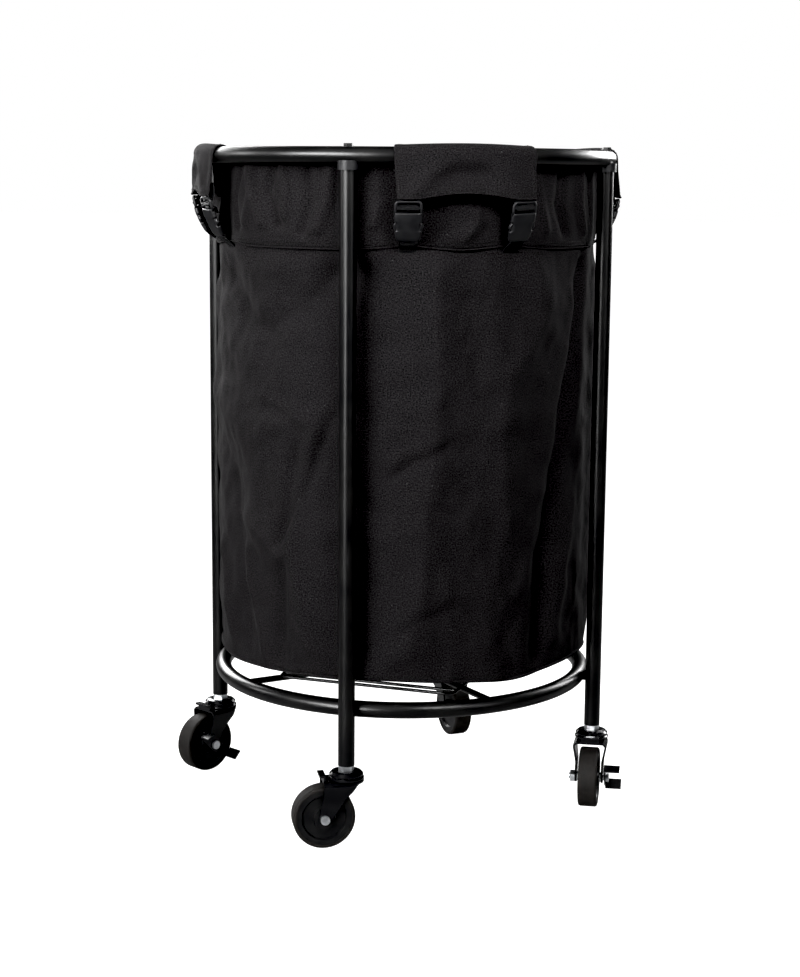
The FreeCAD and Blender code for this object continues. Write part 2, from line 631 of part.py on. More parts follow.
def make_fork(name):
    """Pressed fork: a U strip trimmed to its side outline and its round crown."""
    wide, knee, shoulder, top, skin = "fork_half_width", "fork_knee", "fork_shoulder", "crown_top", "sheet"
    rim = "crown_radius"
    right = [(wide, "0"), (wide, knee), (rim, shoulder), (rim, f"{top} - 4"), (f"{rim} - 4", top)]
    inside = [(f"{rim} - 4.9", f"{top} - {skin}"), (f"{rim} - {skin}", f"{top} - 4.9"),
              (f"{rim} - {skin}", f"{shoulder} + 0.3"), (f"{wide} - {skin}", f"{knee} + 0.3"),
              (f"{wide} - {skin}", "0")]
    mirror = [(f"-({x})", y) for x, y in reversed(right)]
    mirror_inside = [(f"-({x})", y) for x, y in reversed(inside)]
    strip = extruded("fork_strip_" + name, FRONT_VIEW, right + mirror + mirror_inside + inside,
                     "-crown_radius - 1", "trail + 12")
    axle = "wheel_radius"
    side = extruded("fork_side_" + name, SIDE_VIEW, [
        ("-crown_radius - 0.5", f"{top} + 1"), ("-crown_radius - 0.5", f"{top} - {skin} - 0.3"),
        ("fork_front_high_reach", "fork_front_high"), ("fork_front_low_reach", "fork_front_low"),
        ("trail - fork_end_radius", f"{axle} - 2"), ("trail", axle), ("trail + fork_end_radius", axle),
        ("fork_rear_low_reach", "fork_rear_low"), ("fork_rear_high_reach", "fork_rear_high"),
        ("fork_rear", f"{top} + 1")], "-crown_radius - 1", "crown_radius + 1")
    across = axle_line("-crown_radius - 1")
    end = cylinder("fork_end_" + name, "fork_end_radius", "2 * crown_radius + 2", place=across)
    crown = cylinder("fork_crown_" + name, "crown_radius", "crown_top + 1")
    behind = block("fork_behind_" + name, ("0", "-crown_radius", "0"),
                   ("trail + 12", "crown_radius", "crown_top + 1"))
    pressed = common("fork_pressed_" + name, strip, fuse("fork_sides_" + name, side, end),
                     fuse("fork_plan_" + name, crown, behind))
    tab = block("fork_tab_" + name, ("fork_rear - sheet", "-fork_tab_half_width", "crown_top - sheet"),
                ("fork_rear", "fork_tab_half_width", "fork_tab_height"))
    lip = block("fork_lip_" + name, ("fork_rear - sheet", "-fork_tab_half_width", "fork_tab_height - sheet"),
                ("fork_rear + fork_tab_reach", "fork_tab_half_width", "fork_tab_height"))
    whole = fuse("fork_whole_" + name, pressed, tab, lip)
    kingpin = cylinder("fork_bore_" + name, "stem_radius + fit_gap", "20", "crown_top - 10")
    axle_hole = cylinder("fork_axle_bore_" + name, "axle_radius + fit_gap", "2 * crown_radius + 2",
                         place=across)
    publish(cut("fork_bored_" + name, whole, kingpin, axle_hole), "fork_" + name, caster_place(name))


def make_axle(name):
    """Bolt from the head side through both legs, nut beyond, and the sleeve that the wheel turns on."""
    braked = name in BRAKED
    seat = "lever_inner + lever_sheet + 0.1" if braked else "fork_half_width + 0.05"
    leg = "fork_half_width"
    body = new_body("axle_bolt_" + name)
    head = new_sketch(body, shift=seat)
    draw_circle(head, "axle_head_radius")
    pad(body, head, "axle_head_height")
    shank = new_sketch(body, shift=f"-{leg} - nut_height - 1.5")
    draw_circle(shank, "axle_radius")
    pad(body, shank, f"{seat} + {leg} + nut_height + 1.5")
    publish(body, "axle_bolt_" + name, axle_place(name))

    nut = new_body("axle_nut_" + name)
    sketch = new_sketch(nut, shift=f"-{leg} - nut_height - 0.05")
    draw_hexagon(sketch, "nut_flats")
    draw_circle(sketch, "axle_radius + 0.02")
    pad(nut, sketch, "nut_height")
    publish(nut, "axle_nut_" + name, axle_place(name))

    sleeve = new_body("axle_sleeve_" + name)
    sketch = new_sketch(sleeve, shift=f"-({leg} - sheet) + fit_gap")
    draw_circle(sketch, "sleeve_radius")
    draw_circle(sketch, "axle_radius + fit_gap")
    pad(sleeve, sketch, f"2 * ({leg} - sheet) - 2 * fit_gap")
    publish(sleeve, "axle_sleeve_" + name, axle_place(name))


def mirrored(points):
    """A half outline and its reflection below the wheel's middle plane."""
    return points + [(x, f"-({y})") for x, y in reversed(points)]


def make_wheel(name):
    hub = turned("wheel_hub_" + name, mirrored([
        ("sleeve_radius + fit_gap", "boss_half_width"), ("boss_radius - 1", "boss_half_width"),
        ("boss_radius", "web_half_width"), ("groove_radius - 1", "web_half_width"),
        ("groove_radius + 0.5", "rim_half_width"), ("rim_radius", "rim_half_width")]))
    publish(hub, "wheel_hub_" + name, axle_place(name))
    tread = turned("wheel_tread_" + name, mirrored([
        ("rim_radius", "tread_half_width"), ("wheel_radius - tread_edge", "tread_half_width"),
        ("wheel_radius - 0.7", "tread_half_width - 0.8"), ("wheel_radius", "tread_half_width - tread_edge")]))
    publish(tread, "wheel_tread_" + name, axle_place(name))


def lever_piece(name, corners, start, end):
    """One flat of the brake lever, drawn round the axle in side view."""
    points = [(f"trail + ({behind})", f"wheel_radius + ({above})") for behind, above in corners]
    return extruded(name, SIDE_VIEW, points, start, end)


def make_brake_lever(name):
    """Rocking plate on the axle bolt with a toe pad bent outwards at each end."""
    inner, outer, tip = "-lever_inner - lever_sheet", "-lever_inner", "-lever_inner - lever_reach"
    plate = lever_piece("lever_plate_" + name, LEVER_PLATE, inner, outer)
    high_pad = lever_piece("lever_high_pad_" + name, LEVER_HIGH_PAD, tip, outer)
    low_pad = lever_piece("lever_low_pad_" + name, LEVER_LOW_PAD, tip, outer)
    hole = cylinder("lever_hole_" + name, "axle_radius + fit_gap", "60", place=axle_line("-30"))
    publish(cut("lever_bored_" + name, fuse("lever_" + name, plate, high_pad, low_pad), hole),
            "brake_lever_" + name, caster_place(name))


def make_casters():
    make_stems()
    make_upper_races()
    make_balls()
    for name in POSTS:
        make_lower_race(name)
        make_fork(name)
        make_axle(name)
        make_wheel(name)
    for name in BRAKED:
        make_brake_lever(name)


# ---------------------------------------------------------------- build, check, write

def check_document():
    """Stop on any failed object or bad shape before anything is written."""
    failed = [thing.Name for thing in doc.Objects if {"Invalid", "Error"} & set(thing.State)]
    if failed:
        raise RuntimeError("failed objects: " + ", ".join(failed))
    for label, thing in nodes.items():
        shape = Part.getShape(thing)
        if shape.isNull() or not shape.isValid() or not shape.Solids:
            raise RuntimeError("bad shape: " + label)


def write_parts():
    os.makedirs("parts", exist_ok=True)
    for label, thing in nodes.items():
        Part.getShape(thing).exportStep(f"parts/{label}.step")
        print(f"{label}: {len(thing.Shape.Solids)} solids, {thing.Shape.Volume / 1000:.1f} cm3")


make_top_ring()
make_lower_ring()
make_posts()
make_collars()
make_bolts()
make_inserts()
make_spacers()
make_cross_bars()
make_base_wires()
make_bag()
make_flaps()
make_straps()
make_buckle_ladder()
make_buckle_shell()
make_casters()
doc.recompute()
check_document()
write_parts()
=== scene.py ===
"""Looks of the round laundry cart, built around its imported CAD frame. Metres, +Z up, floor at z = 0."""
import json
import math

import bpy
import numpy as np
from mathutils import Matrix, Vector, noise


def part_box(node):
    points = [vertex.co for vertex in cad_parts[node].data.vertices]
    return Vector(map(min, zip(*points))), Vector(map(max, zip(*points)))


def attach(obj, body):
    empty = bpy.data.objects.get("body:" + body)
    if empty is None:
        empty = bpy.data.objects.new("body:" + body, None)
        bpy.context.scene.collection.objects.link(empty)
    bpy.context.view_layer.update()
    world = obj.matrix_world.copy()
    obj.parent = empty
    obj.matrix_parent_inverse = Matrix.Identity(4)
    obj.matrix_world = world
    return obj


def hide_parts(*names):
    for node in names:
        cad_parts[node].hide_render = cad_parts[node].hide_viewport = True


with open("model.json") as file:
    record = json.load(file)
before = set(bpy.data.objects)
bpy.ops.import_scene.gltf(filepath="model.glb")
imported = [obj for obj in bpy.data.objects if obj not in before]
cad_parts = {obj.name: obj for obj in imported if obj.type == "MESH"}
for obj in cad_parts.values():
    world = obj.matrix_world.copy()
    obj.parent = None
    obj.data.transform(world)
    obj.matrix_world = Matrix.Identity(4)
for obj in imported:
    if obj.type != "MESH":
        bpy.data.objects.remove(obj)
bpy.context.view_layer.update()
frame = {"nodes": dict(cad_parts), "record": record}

MM = 0.001
UP = Vector((0, 0, 1))
CAMERA = {"azimuth": 14.87, "distance": 2.461, "height": 0.807, "pitch": 9.451, "roll": 0.474, "yaw": 0.097,
          "lens": 70.19}

FLOOR_REACH = 30.0
FLOOR_COLOR = 0.3
FLOOR_GLOW = 1.05
ROOM_LIGHT = 0.07
OVERHEAD_LIGHT = 0.06
VIEW_GAMMA = 0.85
BLACK_LEVEL = 0.018

# Area lights: degrees round the cart, distance, height, height aimed at, (width, height), watts and spread.
LIGHTS = {
    "soft_box": (-31, 2.4, 1.50, 1.05, (1.6, 1.1), 20.5, 58),
    "strip_light": (-12, 2.4, 1.0, 0.85, (0.55, 1.2), 3.6, 75),
    "side_light": (-80, 2.4, 1.3, 0.75, (0.5, 0.9), 2.4, 60),
    "top_light": (40, 1.8, 1.7, 0.84, (0.6, 0.6), 6.5, 60),
    "rim_light": (62, 2.4, 1.2, 0.8, (0.5, 1.2), 2.0, 90),
    "low_light": (-20, 2.4, 0.55, 0.08, (1.0, 0.4), 1.8, 30),
    "back_light_right": (150, 2.4, 1.4, 0.6, (1.6, 1.2), 30, 100),
    "back_light_left": (228, 2.4, 1.4, 0.6, (1.6, 1.2), 30, 100),
}
# The overhead light: degrees round the cart, degrees up, strength and softness in degrees.
OVERHEAD_SUN = (-30, 60, 0.2, 30)

# Places read from the frame. Angles are degrees from the front post (-Y) towards the right (+X).
RING_LOW, RING_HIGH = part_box("top_ring")
RING_LEVEL = (RING_LOW.z + RING_HIGH.z) / 2
TUBE = RING_HIGH.z - RING_LEVEL
RING_RADIUS = sum(RING_HIGH.xy) / 2 - TUBE
WALL_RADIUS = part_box("bag_wall")[1].x
BASE_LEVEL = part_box("bag_base")[1].z
HEADER_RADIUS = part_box("bag_header")[1].x
SEAM_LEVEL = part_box("bag_header")[0].z
HEADER_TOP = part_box("bag_header")[1].z


def rotation(degrees, axis):
    """Turn about an axis, as a matrix."""
    return Matrix.Rotation(math.radians(degrees), 4, axis)


def compass(node):
    """The angle at which a node sits round the cart."""
    points = [v.co for v in frame["nodes"][node].data.vertices]
    middle = sum(points, Vector()) / len(points)
    return math.degrees(math.atan2(middle.x, -middle.y))


FLAP_ANGLES = {side: compass("flap_" + side) for side in ("front", "right", "back", "left")}
POST_ANGLES = (0, 90, 180, 270)
# Degrees from the middle of a flap to its buckles and to its sides.
BUCKLE_SPREAD = 15.1
FLAP_HALF_ANGLE = 18.8
FLAP_TAIL_LEVEL = RING_LEVEL - 0.046
BUCKLE_ANGLES = [angle + way * BUCKLE_SPREAD for angle in FLAP_ANGLES.values() for way in (-1, 1)]


# ---------------- camera, floor and light

def add_camera():
    """Camera a little right of the front post, just below the height of the top ring."""
    back = Matrix.Translation((0, -CAMERA["distance"], CAMERA["height"]))
    place = rotation(CAMERA["azimuth"], "Z") @ back @ rotation(CAMERA["yaw"], "Z")
    data = bpy.data.cameras.new("camera")
    data.lens = CAMERA["lens"]
    camera = bpy.data.objects.new("camera", data)
    camera.matrix_world = place @ rotation(90 - CAMERA["pitch"], "X") @ rotation(CAMERA["roll"], "Z")
    bpy.context.scene.collection.objects.link(camera)
    bpy.context.scene.camera = camera


def add_floor():
    """Wide pale floor, lit from within just enough to stay white as far as the horizon."""
    data = bpy.data.meshes.new("floor")
    corners = [(x * FLOOR_REACH, y * FLOOR_REACH, 0) for x, y in ((-1, -1), (1, -1), (1, 1), (-1, 1))]
    data.from_pydata(corners, [], [(0, 1, 2, 3)])
    floor = bpy.data.objects.new("floor", data)
    bpy.context.scene.collection.objects.link(floor)
    material = bpy.data.materials.new("floor_white")
    material.use_nodes = True
    nodes, links = material.node_tree.nodes, material.node_tree.links
    shader = nodes["Principled BSDF"]
    shader.inputs["Base Color"].default_value = (*[FLOOR_COLOR] * 3, 1)
    shader.inputs["Roughness"].default_value = 0.9
    shader.inputs["Specular IOR Level"].default_value = 0.1
    shader.inputs["Emission Color"].default_value = (1, 1, 1, 1)
    glow = nodes.new("ShaderNodeMath")
    glow.operation = "MULTIPLY"
    glow.inputs[1].default_value = FLOOR_GLOW
    links.new(nodes.new("ShaderNodeLightPath").outputs["Is Camera Ray"], glow.inputs[0])
    links.new(glow.outputs["Value"], shader.inputs["Emission Strength"])
    data.materials.append(material)


def aim(spot, target):
    """A placement at spot that looks at target along its own -Z."""
    return Matrix.Translation(spot) @ (target - spot).to_track_quat("-Z", "Y").to_matrix().to_4x4()


def add_area_light(name, azimuth, distance, height, target, size, power, spread):
    """Rectangular light at a place round the cart, aimed at a height on the cart's axis."""
    data = bpy.data.lights.new(name, "AREA")
    data.shape = "RECTANGLE"
    data.size, data.size_y = size
    data.energy = power
    data.spread = math.radians(spread)
    light = bpy.data.objects.new(name, data)
    angle = math.radians(azimuth)
    spot = Vector((distance * math.sin(angle), -distance * math.cos(angle), height))
    light.matrix_world = aim(spot, Vector((0, 0, target)))
    bpy.context.scene.collection.objects.link(light)


def add_sun(azimuth, elevation, strength, softness):
    """Faint, very soft light from above."""
    data = bpy.data.lights.new("overhead", "SUN")
    data.energy = strength
    data.angle = math.radians(softness)
    light = bpy.data.objects.new("overhead", data)
    turn, lift = math.radians(azimuth), math.radians(elevation)
    spot = Vector((math.cos(lift) * math.sin(turn), -math.cos(lift) * math.cos(turn), math.sin(lift)))
    light.matrix_world = aim(spot, Vector((0, 0, 0)))
    bpy.context.scene.collection.objects.link(light)


def add_world():
    """White behind the cart; for its light and reflections a dim room, darker overhead."""
    world = bpy.data.worlds.new("studio")
    world.use_nodes = True
    nodes, links = world.node_tree.nodes, world.node_tree.links
    split = nodes.new("ShaderNodeSeparateXYZ")
    ramp = nodes.new("ShaderNodeValToRGB")
    for stop, position, level in zip(ramp.color_ramp.elements, (0.05, 0.6), (ROOM_LIGHT, OVERHEAD_LIGHT)):
        stop.position = position
        stop.color = (*[level] * 3, 1)
    mix = nodes.new("ShaderNodeMix")
    mix.data_type = "RGBA"
    colors = [socket for socket in mix.inputs if socket.type == "RGBA"]
    colors[1].default_value = (1, 1, 1, 1)
    links.new(nodes.new("ShaderNodeTexCoord").outputs["Generated"], split.inputs["Vector"])
    links.new(split.outputs["Z"], ramp.inputs["Fac"])
    links.new(nodes.new("ShaderNodeLightPath").outputs["Is Camera Ray"], mix.inputs[0])
    links.new(ramp.outputs["Color"], colors[0])
    links.new(next(s for s in mix.outputs if s.type == "RGBA"), nodes["Background"].inputs["Color"])
    bpy.context.scene.world = world


def set_view():
    """Standard view with a little contrast and solid blacks."""
    view = bpy.context.scene.view_settings
    view.view_transform = "Standard"
    view.gamma = VIEW_GAMMA
    view.use_curve_mapping = True
    view.curve_mapping.black_level = (BLACK_LEVEL,) * 3
    view.curve_mapping.update()


def add_light():
    """Main light from the front left, small lights for ring, posts and casters, and fill from behind."""
    add_world()
    set_view()
    add_sun(*OVERHEAD_SUN)
    for name, setting in LIGHTS.items():
        add_area_light(name, *setting)


# ---------------- materials

# Bands of a wave texture in each unit of its coordinates, at scale 1.
WAVE_BANDS = 3.1831


class Shader:
    """A node material built step by step on one Principled shader."""

    def __init__(self, name, metallic=0.0, specular=0.5):
        self.material = bpy.data.materials.new(name)
        self.material.use_nodes = True
        self.nodes = self.material.node_tree.nodes
        self.links = self.material.node_tree.links
        self.out = self.nodes["Principled BSDF"]
        self.out.inputs["Metallic"].default_value = metallic
        self.out.inputs["Specular IOR Level"].default_value = specular

    def place(self, kind="Object", scale=(1, 1, 1)):
        """Object or UV coordinates in metres, stretched by scale."""
        coordinates = self.nodes.new("ShaderNodeTexCoord")
        mapping = self.nodes.new("ShaderNodeMapping")
        mapping.inputs["Scale"].default_value = scale
        self.links.new(coordinates.outputs[kind], mapping.inputs["Vector"])
        return mapping.outputs["Vector"]

    def noise(self, size, detail=2.0, where=None, roughness=0.55):
        """Cloudy noise with features about size metres across."""
        node = self.nodes.new("ShaderNodeTexNoise")
        node.inputs["Scale"].default_value = 1 / size
        node.inputs["Detail"].default_value = detail
        node.inputs["Roughness"].default_value = roughness
        self.links.new(where or self.place(), node.inputs["Vector"])
        return node.outputs["Fac"]

    def threads(self, pitch, direction, where):
        """Even ribs across X, Y or the diagonal of the given coordinates, at a pitch in their unit."""
        node = self.nodes.new("ShaderNodeTexWave")
        node.wave_type, node.bands_direction = "BANDS", direction
        node.inputs["Scale"].default_value = 1 / pitch / WAVE_BANDS
        node.inputs["Distortion"].default_value = 0.0
        self.links.new(where, node.inputs["Vector"])
        return node.outputs["Fac"]

    def ramp(self, value, low, high, start=0.0, end=1.0):
        """Blend between two colours as value runs from start to end."""
        node = self.nodes.new("ShaderNodeValToRGB")
        node.color_ramp.elements[0].position = start
        node.color_ramp.elements[1].position = end
        node.color_ramp.elements[0].color = (*low, 1)
        node.color_ramp.elements[1].color = (*high, 1)
        self.links.new(value, node.inputs["Fac"])
        return node.outputs["Color"]

    def span(self, value, start, end, low, high):
        """Map value from start..end onto low..high, held within them."""
        node = self.nodes.new("ShaderNodeMapRange")
        for name, number in (("From Min", start), ("From Max", end), ("To Min", low), ("To Max", high)):
            node.inputs[name].default_value = number
        self.links.new(value, node.inputs["Value"])
        return node.outputs["Result"]

    def mix(self, factor, first, second):
        """Go from the first colour to the second as factor goes from 0 to 1."""
        node = self.nodes.new("ShaderNodeMix")
        node.data_type = "RGBA"
        sockets = {"Factor": factor, "A": first, "B": second}
        for socket in node.inputs:
            if socket.enabled and socket.name in sockets and socket.type != "VECTOR":
                self.feed(sockets[socket.name], socket)
        return next(s for s in node.outputs if s.enabled)

    def math(self, kind, first, second):
        """The result of one operation on two values."""
        node = self.nodes.new("ShaderNodeMath")
        node.operation = kind
        self.feed(first, node.inputs[0])
        self.feed(second, node.inputs[1])
        return node.outputs["Value"]

    def feed(self, thing, socket):
        """Give a socket another node's output, a colour or a number."""
        if isinstance(thing, bpy.types.NodeSocket):
            self.links.new(thing, socket)
        elif isinstance(thing, tuple):
            socket.default_value = (*thing, 1)
        else:
            socket.default_value = thing

    def bump(self, height, distance, strength=1.0, under=None):
        """Relief of distance metres from a height, laid over another relief if one is given."""
        node = self.nodes.new("ShaderNodeBump")
        node.inputs["Distance"].default_value = distance
        node.inputs["Strength"].default_value = strength
        self.links.new(height, node.inputs["Height"])
        if under is not None:
            self.links.new(under, node.inputs["Normal"])
        return node.outputs["Normal"]

    def finish(self, color, roughness, normal):
        """Connect the three to the shader and hand back the material."""
        self.feed(color, self.out.inputs["Base Color"])
        self.feed(roughness, self.out.inputs["Roughness"])
        self.links.new(normal, self.out.inputs["Normal"])
        return self.material


def powder_coat():
    """Satin black powder coat: orange peel, faint dust and fine rubbed scuffs."""
    shade = Shader("powder_coat", specular=0.45)
    peel = shade.noise(0.0016, 1.0)
    cloud = shade.noise(0.05, 3.0)
    scuff = shade.noise(0.006, 3.0, shade.place(scale=(1, 1, 0.12)))
    dust = shade.ramp(cloud, (0.0045, 0.0045, 0.005), (0.010, 0.0098, 0.0095), 0.35, 0.75)
    color = shade.mix(shade.span(scuff, 0.66, 0.78, 0.0, 0.3), dust, (0.04, 0.04, 0.042))
    worn = shade.span(scuff, 0.6, 0.8, 0.0, 0.14)
    rough = shade.math("ADD", shade.span(cloud, 0.3, 0.7, 0.29, 0.35), worn)
    return shade.finish(color, rough, shade.bump(peel, 0.00006, 0.6))


def moulded(name, low, high, roughness, grain=0.0008, specular=0.4):
    """Moulded plastic with a fine spark-eroded grain and slightly uneven gloss."""
    shade = Shader(name, specular=specular)
    cloud = shade.noise(0.012, 3.0)
    color = shade.ramp(cloud, low, high, 0.3, 0.75)
    rough = shade.span(cloud, 0.3, 0.7, roughness - 0.05, roughness + 0.07)
    return shade.finish(color, rough, shade.bump(shade.noise(grain, 1.0), 0.00005, 0.7))


def metal(name, low, high, roughness):
    """Plated or machined steel with faint stains and fine marks."""
    shade = Shader(name, metallic=1.0)
    cloud = shade.noise(0.006, 4.0)
    color = shade.ramp(cloud, low, high, 0.3, 0.7)
    marks = shade.noise(0.0009, 2.0, shade.place(scale=(1, 1, 0.2)))
    rough = shade.span(cloud, 0.3, 0.7, roughness - 0.06, roughness + 0.12)
    return shade.finish(color, rough, shade.bump(marks, 0.00003, 0.5))


def canvas():
    """Plain-woven black polyester: crossed threads, heathered fibres, lint and faint chalky rubs."""
    shade = Shader("canvas", specular=0.06)
    cloth = shade.place("UV")
    pitch = 0.0011
    over = shade.threads(2 * pitch, "DIAGONAL", cloth)
    warp = shade.math("MULTIPLY", shade.threads(pitch, "X", cloth), over)
    weft = shade.math("MULTIPLY", shade.threads(pitch, "Y", cloth), shade.math("SUBTRACT", 1.0, over))
    weave = shade.math("ADD", warp, weft)
    fibre = shade.noise(0.0018, 3.0, cloth, 0.8)
    cloud = shade.noise(0.045, 4.0, cloth)
    heather = shade.ramp(fibre, (0.003, 0.0028, 0.003), (0.035, 0.0333, 0.0345), 0.39, 0.67)
    rubbed = shade.mix(shade.span(cloud, 0.40, 0.72, 0.0, 0.30), heather, (0.0165, 0.0155, 0.0163))
    lint_spots = shade.noise(0.0024, 0.0, cloth)
    color = shade.mix(shade.span(lint_spots, 0.835, 0.86, 0.0, 0.6), rubbed, (0.08, 0.08, 0.08))
    normal = shade.bump(weave, 0.00028, 0.55, shade.bump(fibre, 0.0004, 0.6))
    shade.out.inputs["Sheen Weight"].default_value = 0.02
    shade.out.inputs["Sheen Roughness"].default_value = 0.5
    return shade.finish(color, shade.span(fibre, 0.3, 0.7, 0.78, 0.92), normal)


def webbing():
    """Ribbed black polypropylene webbing."""
    shade = Shader("webbing", specular=0.3)
    cloth = shade.place("UV")
    ribs = shade.threads(0.0016, "Y", cloth)
    warp = shade.threads(0.0009, "X", cloth)
    weave = shade.math("MULTIPLY", ribs, shade.math("ADD", warp, 0.6))
    color = shade.ramp(weave, (0.004, 0.004, 0.0045), (0.016, 0.016, 0.018), 0.2, 1.0)
    return shade.finish(color, shade.span(shade.noise(0.004, 2.0, cloth), 0.3, 0.7, 0.5, 0.7),
                        shade.bump(weave, 0.0003, 0.8))


def thread():
    """Twisted black sewing thread."""
    shade = Shader("sewing_thread", specular=0.2)
    twist = shade.noise(0.0005, 1.0, shade.place(scale=(1, 1, 2.5)))
    color = shade.ramp(twist, (0.002, 0.002, 0.002), (0.009, 0.009, 0.009), 0.3, 0.7)
    return shade.finish(color, 0.55, shade.bump(twist, 0.0001, 0.8))


def tread_rubber():
    """Matte dark rubber, dusty from the floor, with small scuffs."""
    shade = Shader("tread_rubber", specular=0.3)
    cloud = shade.noise(0.010, 4.0)
    speck = shade.noise(0.0012, 2.0)
    color = shade.ramp(cloud, (0.011, 0.0102, 0.0098), (0.028, 0.0258, 0.0242), 0.32, 0.72)
    dusted = shade.mix(shade.span(speck, 0.62, 0.78, 0.0, 0.35), color, (0.07, 0.065, 0.06))
    return shade.finish(dusted, shade.span(cloud, 0.3, 0.7, 0.6, 0.82), shade.bump(speck, 0.00018, 0.6))


MATERIALS = {
    "powder_coat": powder_coat(),
    "collar_plastic": moulded("collar_plastic", (0.009, 0.009, 0.010), (0.016, 0.016, 0.017), 0.42),
    "black_fastener": moulded("black_fastener", (0.008, 0.008, 0.009), (0.022, 0.021, 0.020), 0.36),
    "bare_steel": metal("bare_steel", (0.42, 0.42, 0.43), (0.60, 0.60, 0.61), 0.32),
    "bag_canvas": canvas(),
    "webbing": webbing(),
    "buckle_plastic": moulded("buckle_plastic", (0.010, 0.010, 0.011), (0.018, 0.018, 0.019), 0.40, 0.0006),
    "zinc": metal("zinc", (0.62, 0.64, 0.66), (0.88, 0.90, 0.92), 0.34),
    "caster_paint": moulded("caster_paint", (0.006, 0.006, 0.007), (0.010, 0.010, 0.011), 0.20, 0.002, 0.5),
    "hub_plastic": moulded("hub_plastic", (0.009, 0.009, 0.010), (0.018, 0.018, 0.018), 0.38, 0.0009),
    "tread_rubber": tread_rubber(),
    "thread": thread(),
}


def dress_frame():
    """Give every CAD node its slot's material."""
    for part in frame["record"]["subparts"]:
        node = frame["nodes"][part["node"]]
        node.data.materials.clear()
        node.data.materials.append(MATERIALS[part["material_slot"]])


# ---------------- mesh helpers
# A shape is a tuple of points, faces and one (u, v) for each face corner, in the shape's own unit.

def add_piece(name, shape, slot, material=None):
    """A smooth mesh piece that rides on the frame and takes a record slot's finish."""
    points, faces, uvs = shape
    data = bpy.data.meshes.new(name)
    data.from_pydata([tuple(p) for p in points], [], faces)
    layer = data.uv_layers.new(name="cloth")
    for loop, uv in zip(layer.data, uvs):
        loop.uv = uv
    data.shade_smooth()
    data.materials.append(material or MATERIALS[slot])
    piece = bpy.data.objects.new(name, data)
    bpy.context.scene.collection.objects.link(piece)
    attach(piece, "frame")
    return piece


def grid_faces(columns, rows, closed):
    """Quads of a grid stored row by row, and the (column, row) of each face corner."""
    faces, corners = [], []
    last = columns if closed else columns - 1
    for j in range(rows - 1):
        for i in range(last):
            k = (i + 1) % columns
            faces.append((j * columns + i, j * columns + k, (j + 1) * columns + k, (j + 1) * columns + i))
            corners.extend([(i, j), (i + 1, j), (i + 1, j + 1), (i, j + 1)])
    return faces, corners


def cloth_grid(name, points, closed, width, length):
    """A canvas from a rows x columns array of points, with its weave mapped at real size."""
    rows, columns = points.shape[:2]
    faces, corners = grid_faces(columns, rows, closed)
    across = columns if closed else columns - 1
    uvs = [(width * i / across, length * j / (rows - 1)) for i, j in corners]
    return add_piece(name, (points.reshape(-1, 3), faces, uvs), "bag_canvas")


def thicken(piece, thickness):
    """Real cloth thickness to both sides, then a smoothing subdivision."""
    solid = piece.modifiers.new("thickness", "SOLIDIFY")
    solid.thickness = thickness
    solid.offset = 0.0
    smooth = piece.modifiers.new("smooth", "SUBSURF")
    smooth.levels = smooth.render_levels = 1
    return solid


def round_point(angle, radius, height):
    """A point at an angle in degrees from the front post towards the right."""
    turn = np.radians(angle)
    return np.stack(np.broadcast_arrays(radius * np.sin(turn), -radius * np.cos(turn), height), axis=-1)


def outward(place):
    """Level direction from the cart's axis to a place."""
    return Vector((place[0], place[1], 0)).normalized()


def near_turn(angle, middle):
    """The angle brought within half a turn of middle."""
    return (angle - middle + 180) % 360 - 180 + middle


def nearness(angle, places, reach):
    """1 at each of the places round the cart, falling off smoothly within about reach degrees."""
    near = np.zeros(np.shape(angle))
    for place in places:
        near = np.maximum(near, np.exp(-((near_turn(angle, place) - place) / reach) ** 2))
    return near


def ease(share):
    """Smooth way from 0 to 1 as share goes from 0 to 1."""
    share = np.clip(share, 0, 1)
    return share * share * (3 - 2 * share)


def oval(a, b, squareness=2.0, count=16):
    """Points of a superellipse with half axes a and b; the higher the squareness, the flatter the sides."""
    points = []
    for i in range(count):
        turn = math.tau * (i + 0.5) / count
        c, s = math.cos(turn), math.sin(turn)
        points.append((a * math.copysign(abs(c) ** (2 / squareness), c),
                       b * math.copysign(abs(s) ** (2 / squareness), s)))
    return points


def loft(rings, closed=False):
    """Skin over rings of equally many points, capped at both ends unless it closes on itself."""
    count, last = len(rings[0]), len(rings) if closed else len(rings) - 1
    around, along = [0.0], [0.0]
    for a, b in zip(rings[0], rings[0][1:] + rings[0][:1]):
        around.append(around[-1] + (Vector(b) - Vector(a)).length)
    for a, b in zip(rings, rings[1:] + rings[:1]):
        along.append(along[-1] + (Vector(b[0]) - Vector(a[0])).length)
    faces, uvs = [], []
    for j in range(last):
        for i in range(count):
            k, m = (i + 1) % count, (j + 1) % len(rings)
            faces.append((j * count + i, j * count + k, m * count + k, m * count + i))
            uvs.extend([(around[i], along[j]), (around[i + 1], along[j]),
                        (around[i + 1], along[j + 1]), (around[i], along[j + 1])])
    if not closed:
        faces.append(tuple(reversed(range(count))))
        faces.append(tuple(last * count + i for i in range(count)))
        uvs.extend([(0.0, 0.0)] * (2 * count))
    return [Vector(p) for ring in rings for p in ring], faces, uvs


def sweep(path, section, closed=True):
    """Carry a section of (out, up) points along a path of (place, out, up)."""
    return loft([[place + out * a + up * b for a, b in section] for place, out, up in path], closed)


def join(shapes):
    """Several shapes as one."""
    points, faces, uvs = [], [], []
    for more_points, more_faces, more_uvs in shapes:
        faces.extend(tuple(i + len(points) for i in face) for face in more_faces)
        points.extend(more_points)
        uvs.extend(more_uvs)
    return points, faces, uvs


def copies(shape, places):
    """The same shape at several placements, as one."""
    points, faces, uvs = shape
    return join([([place @ Vector(p) for p in points], faces, uvs) for place in places])


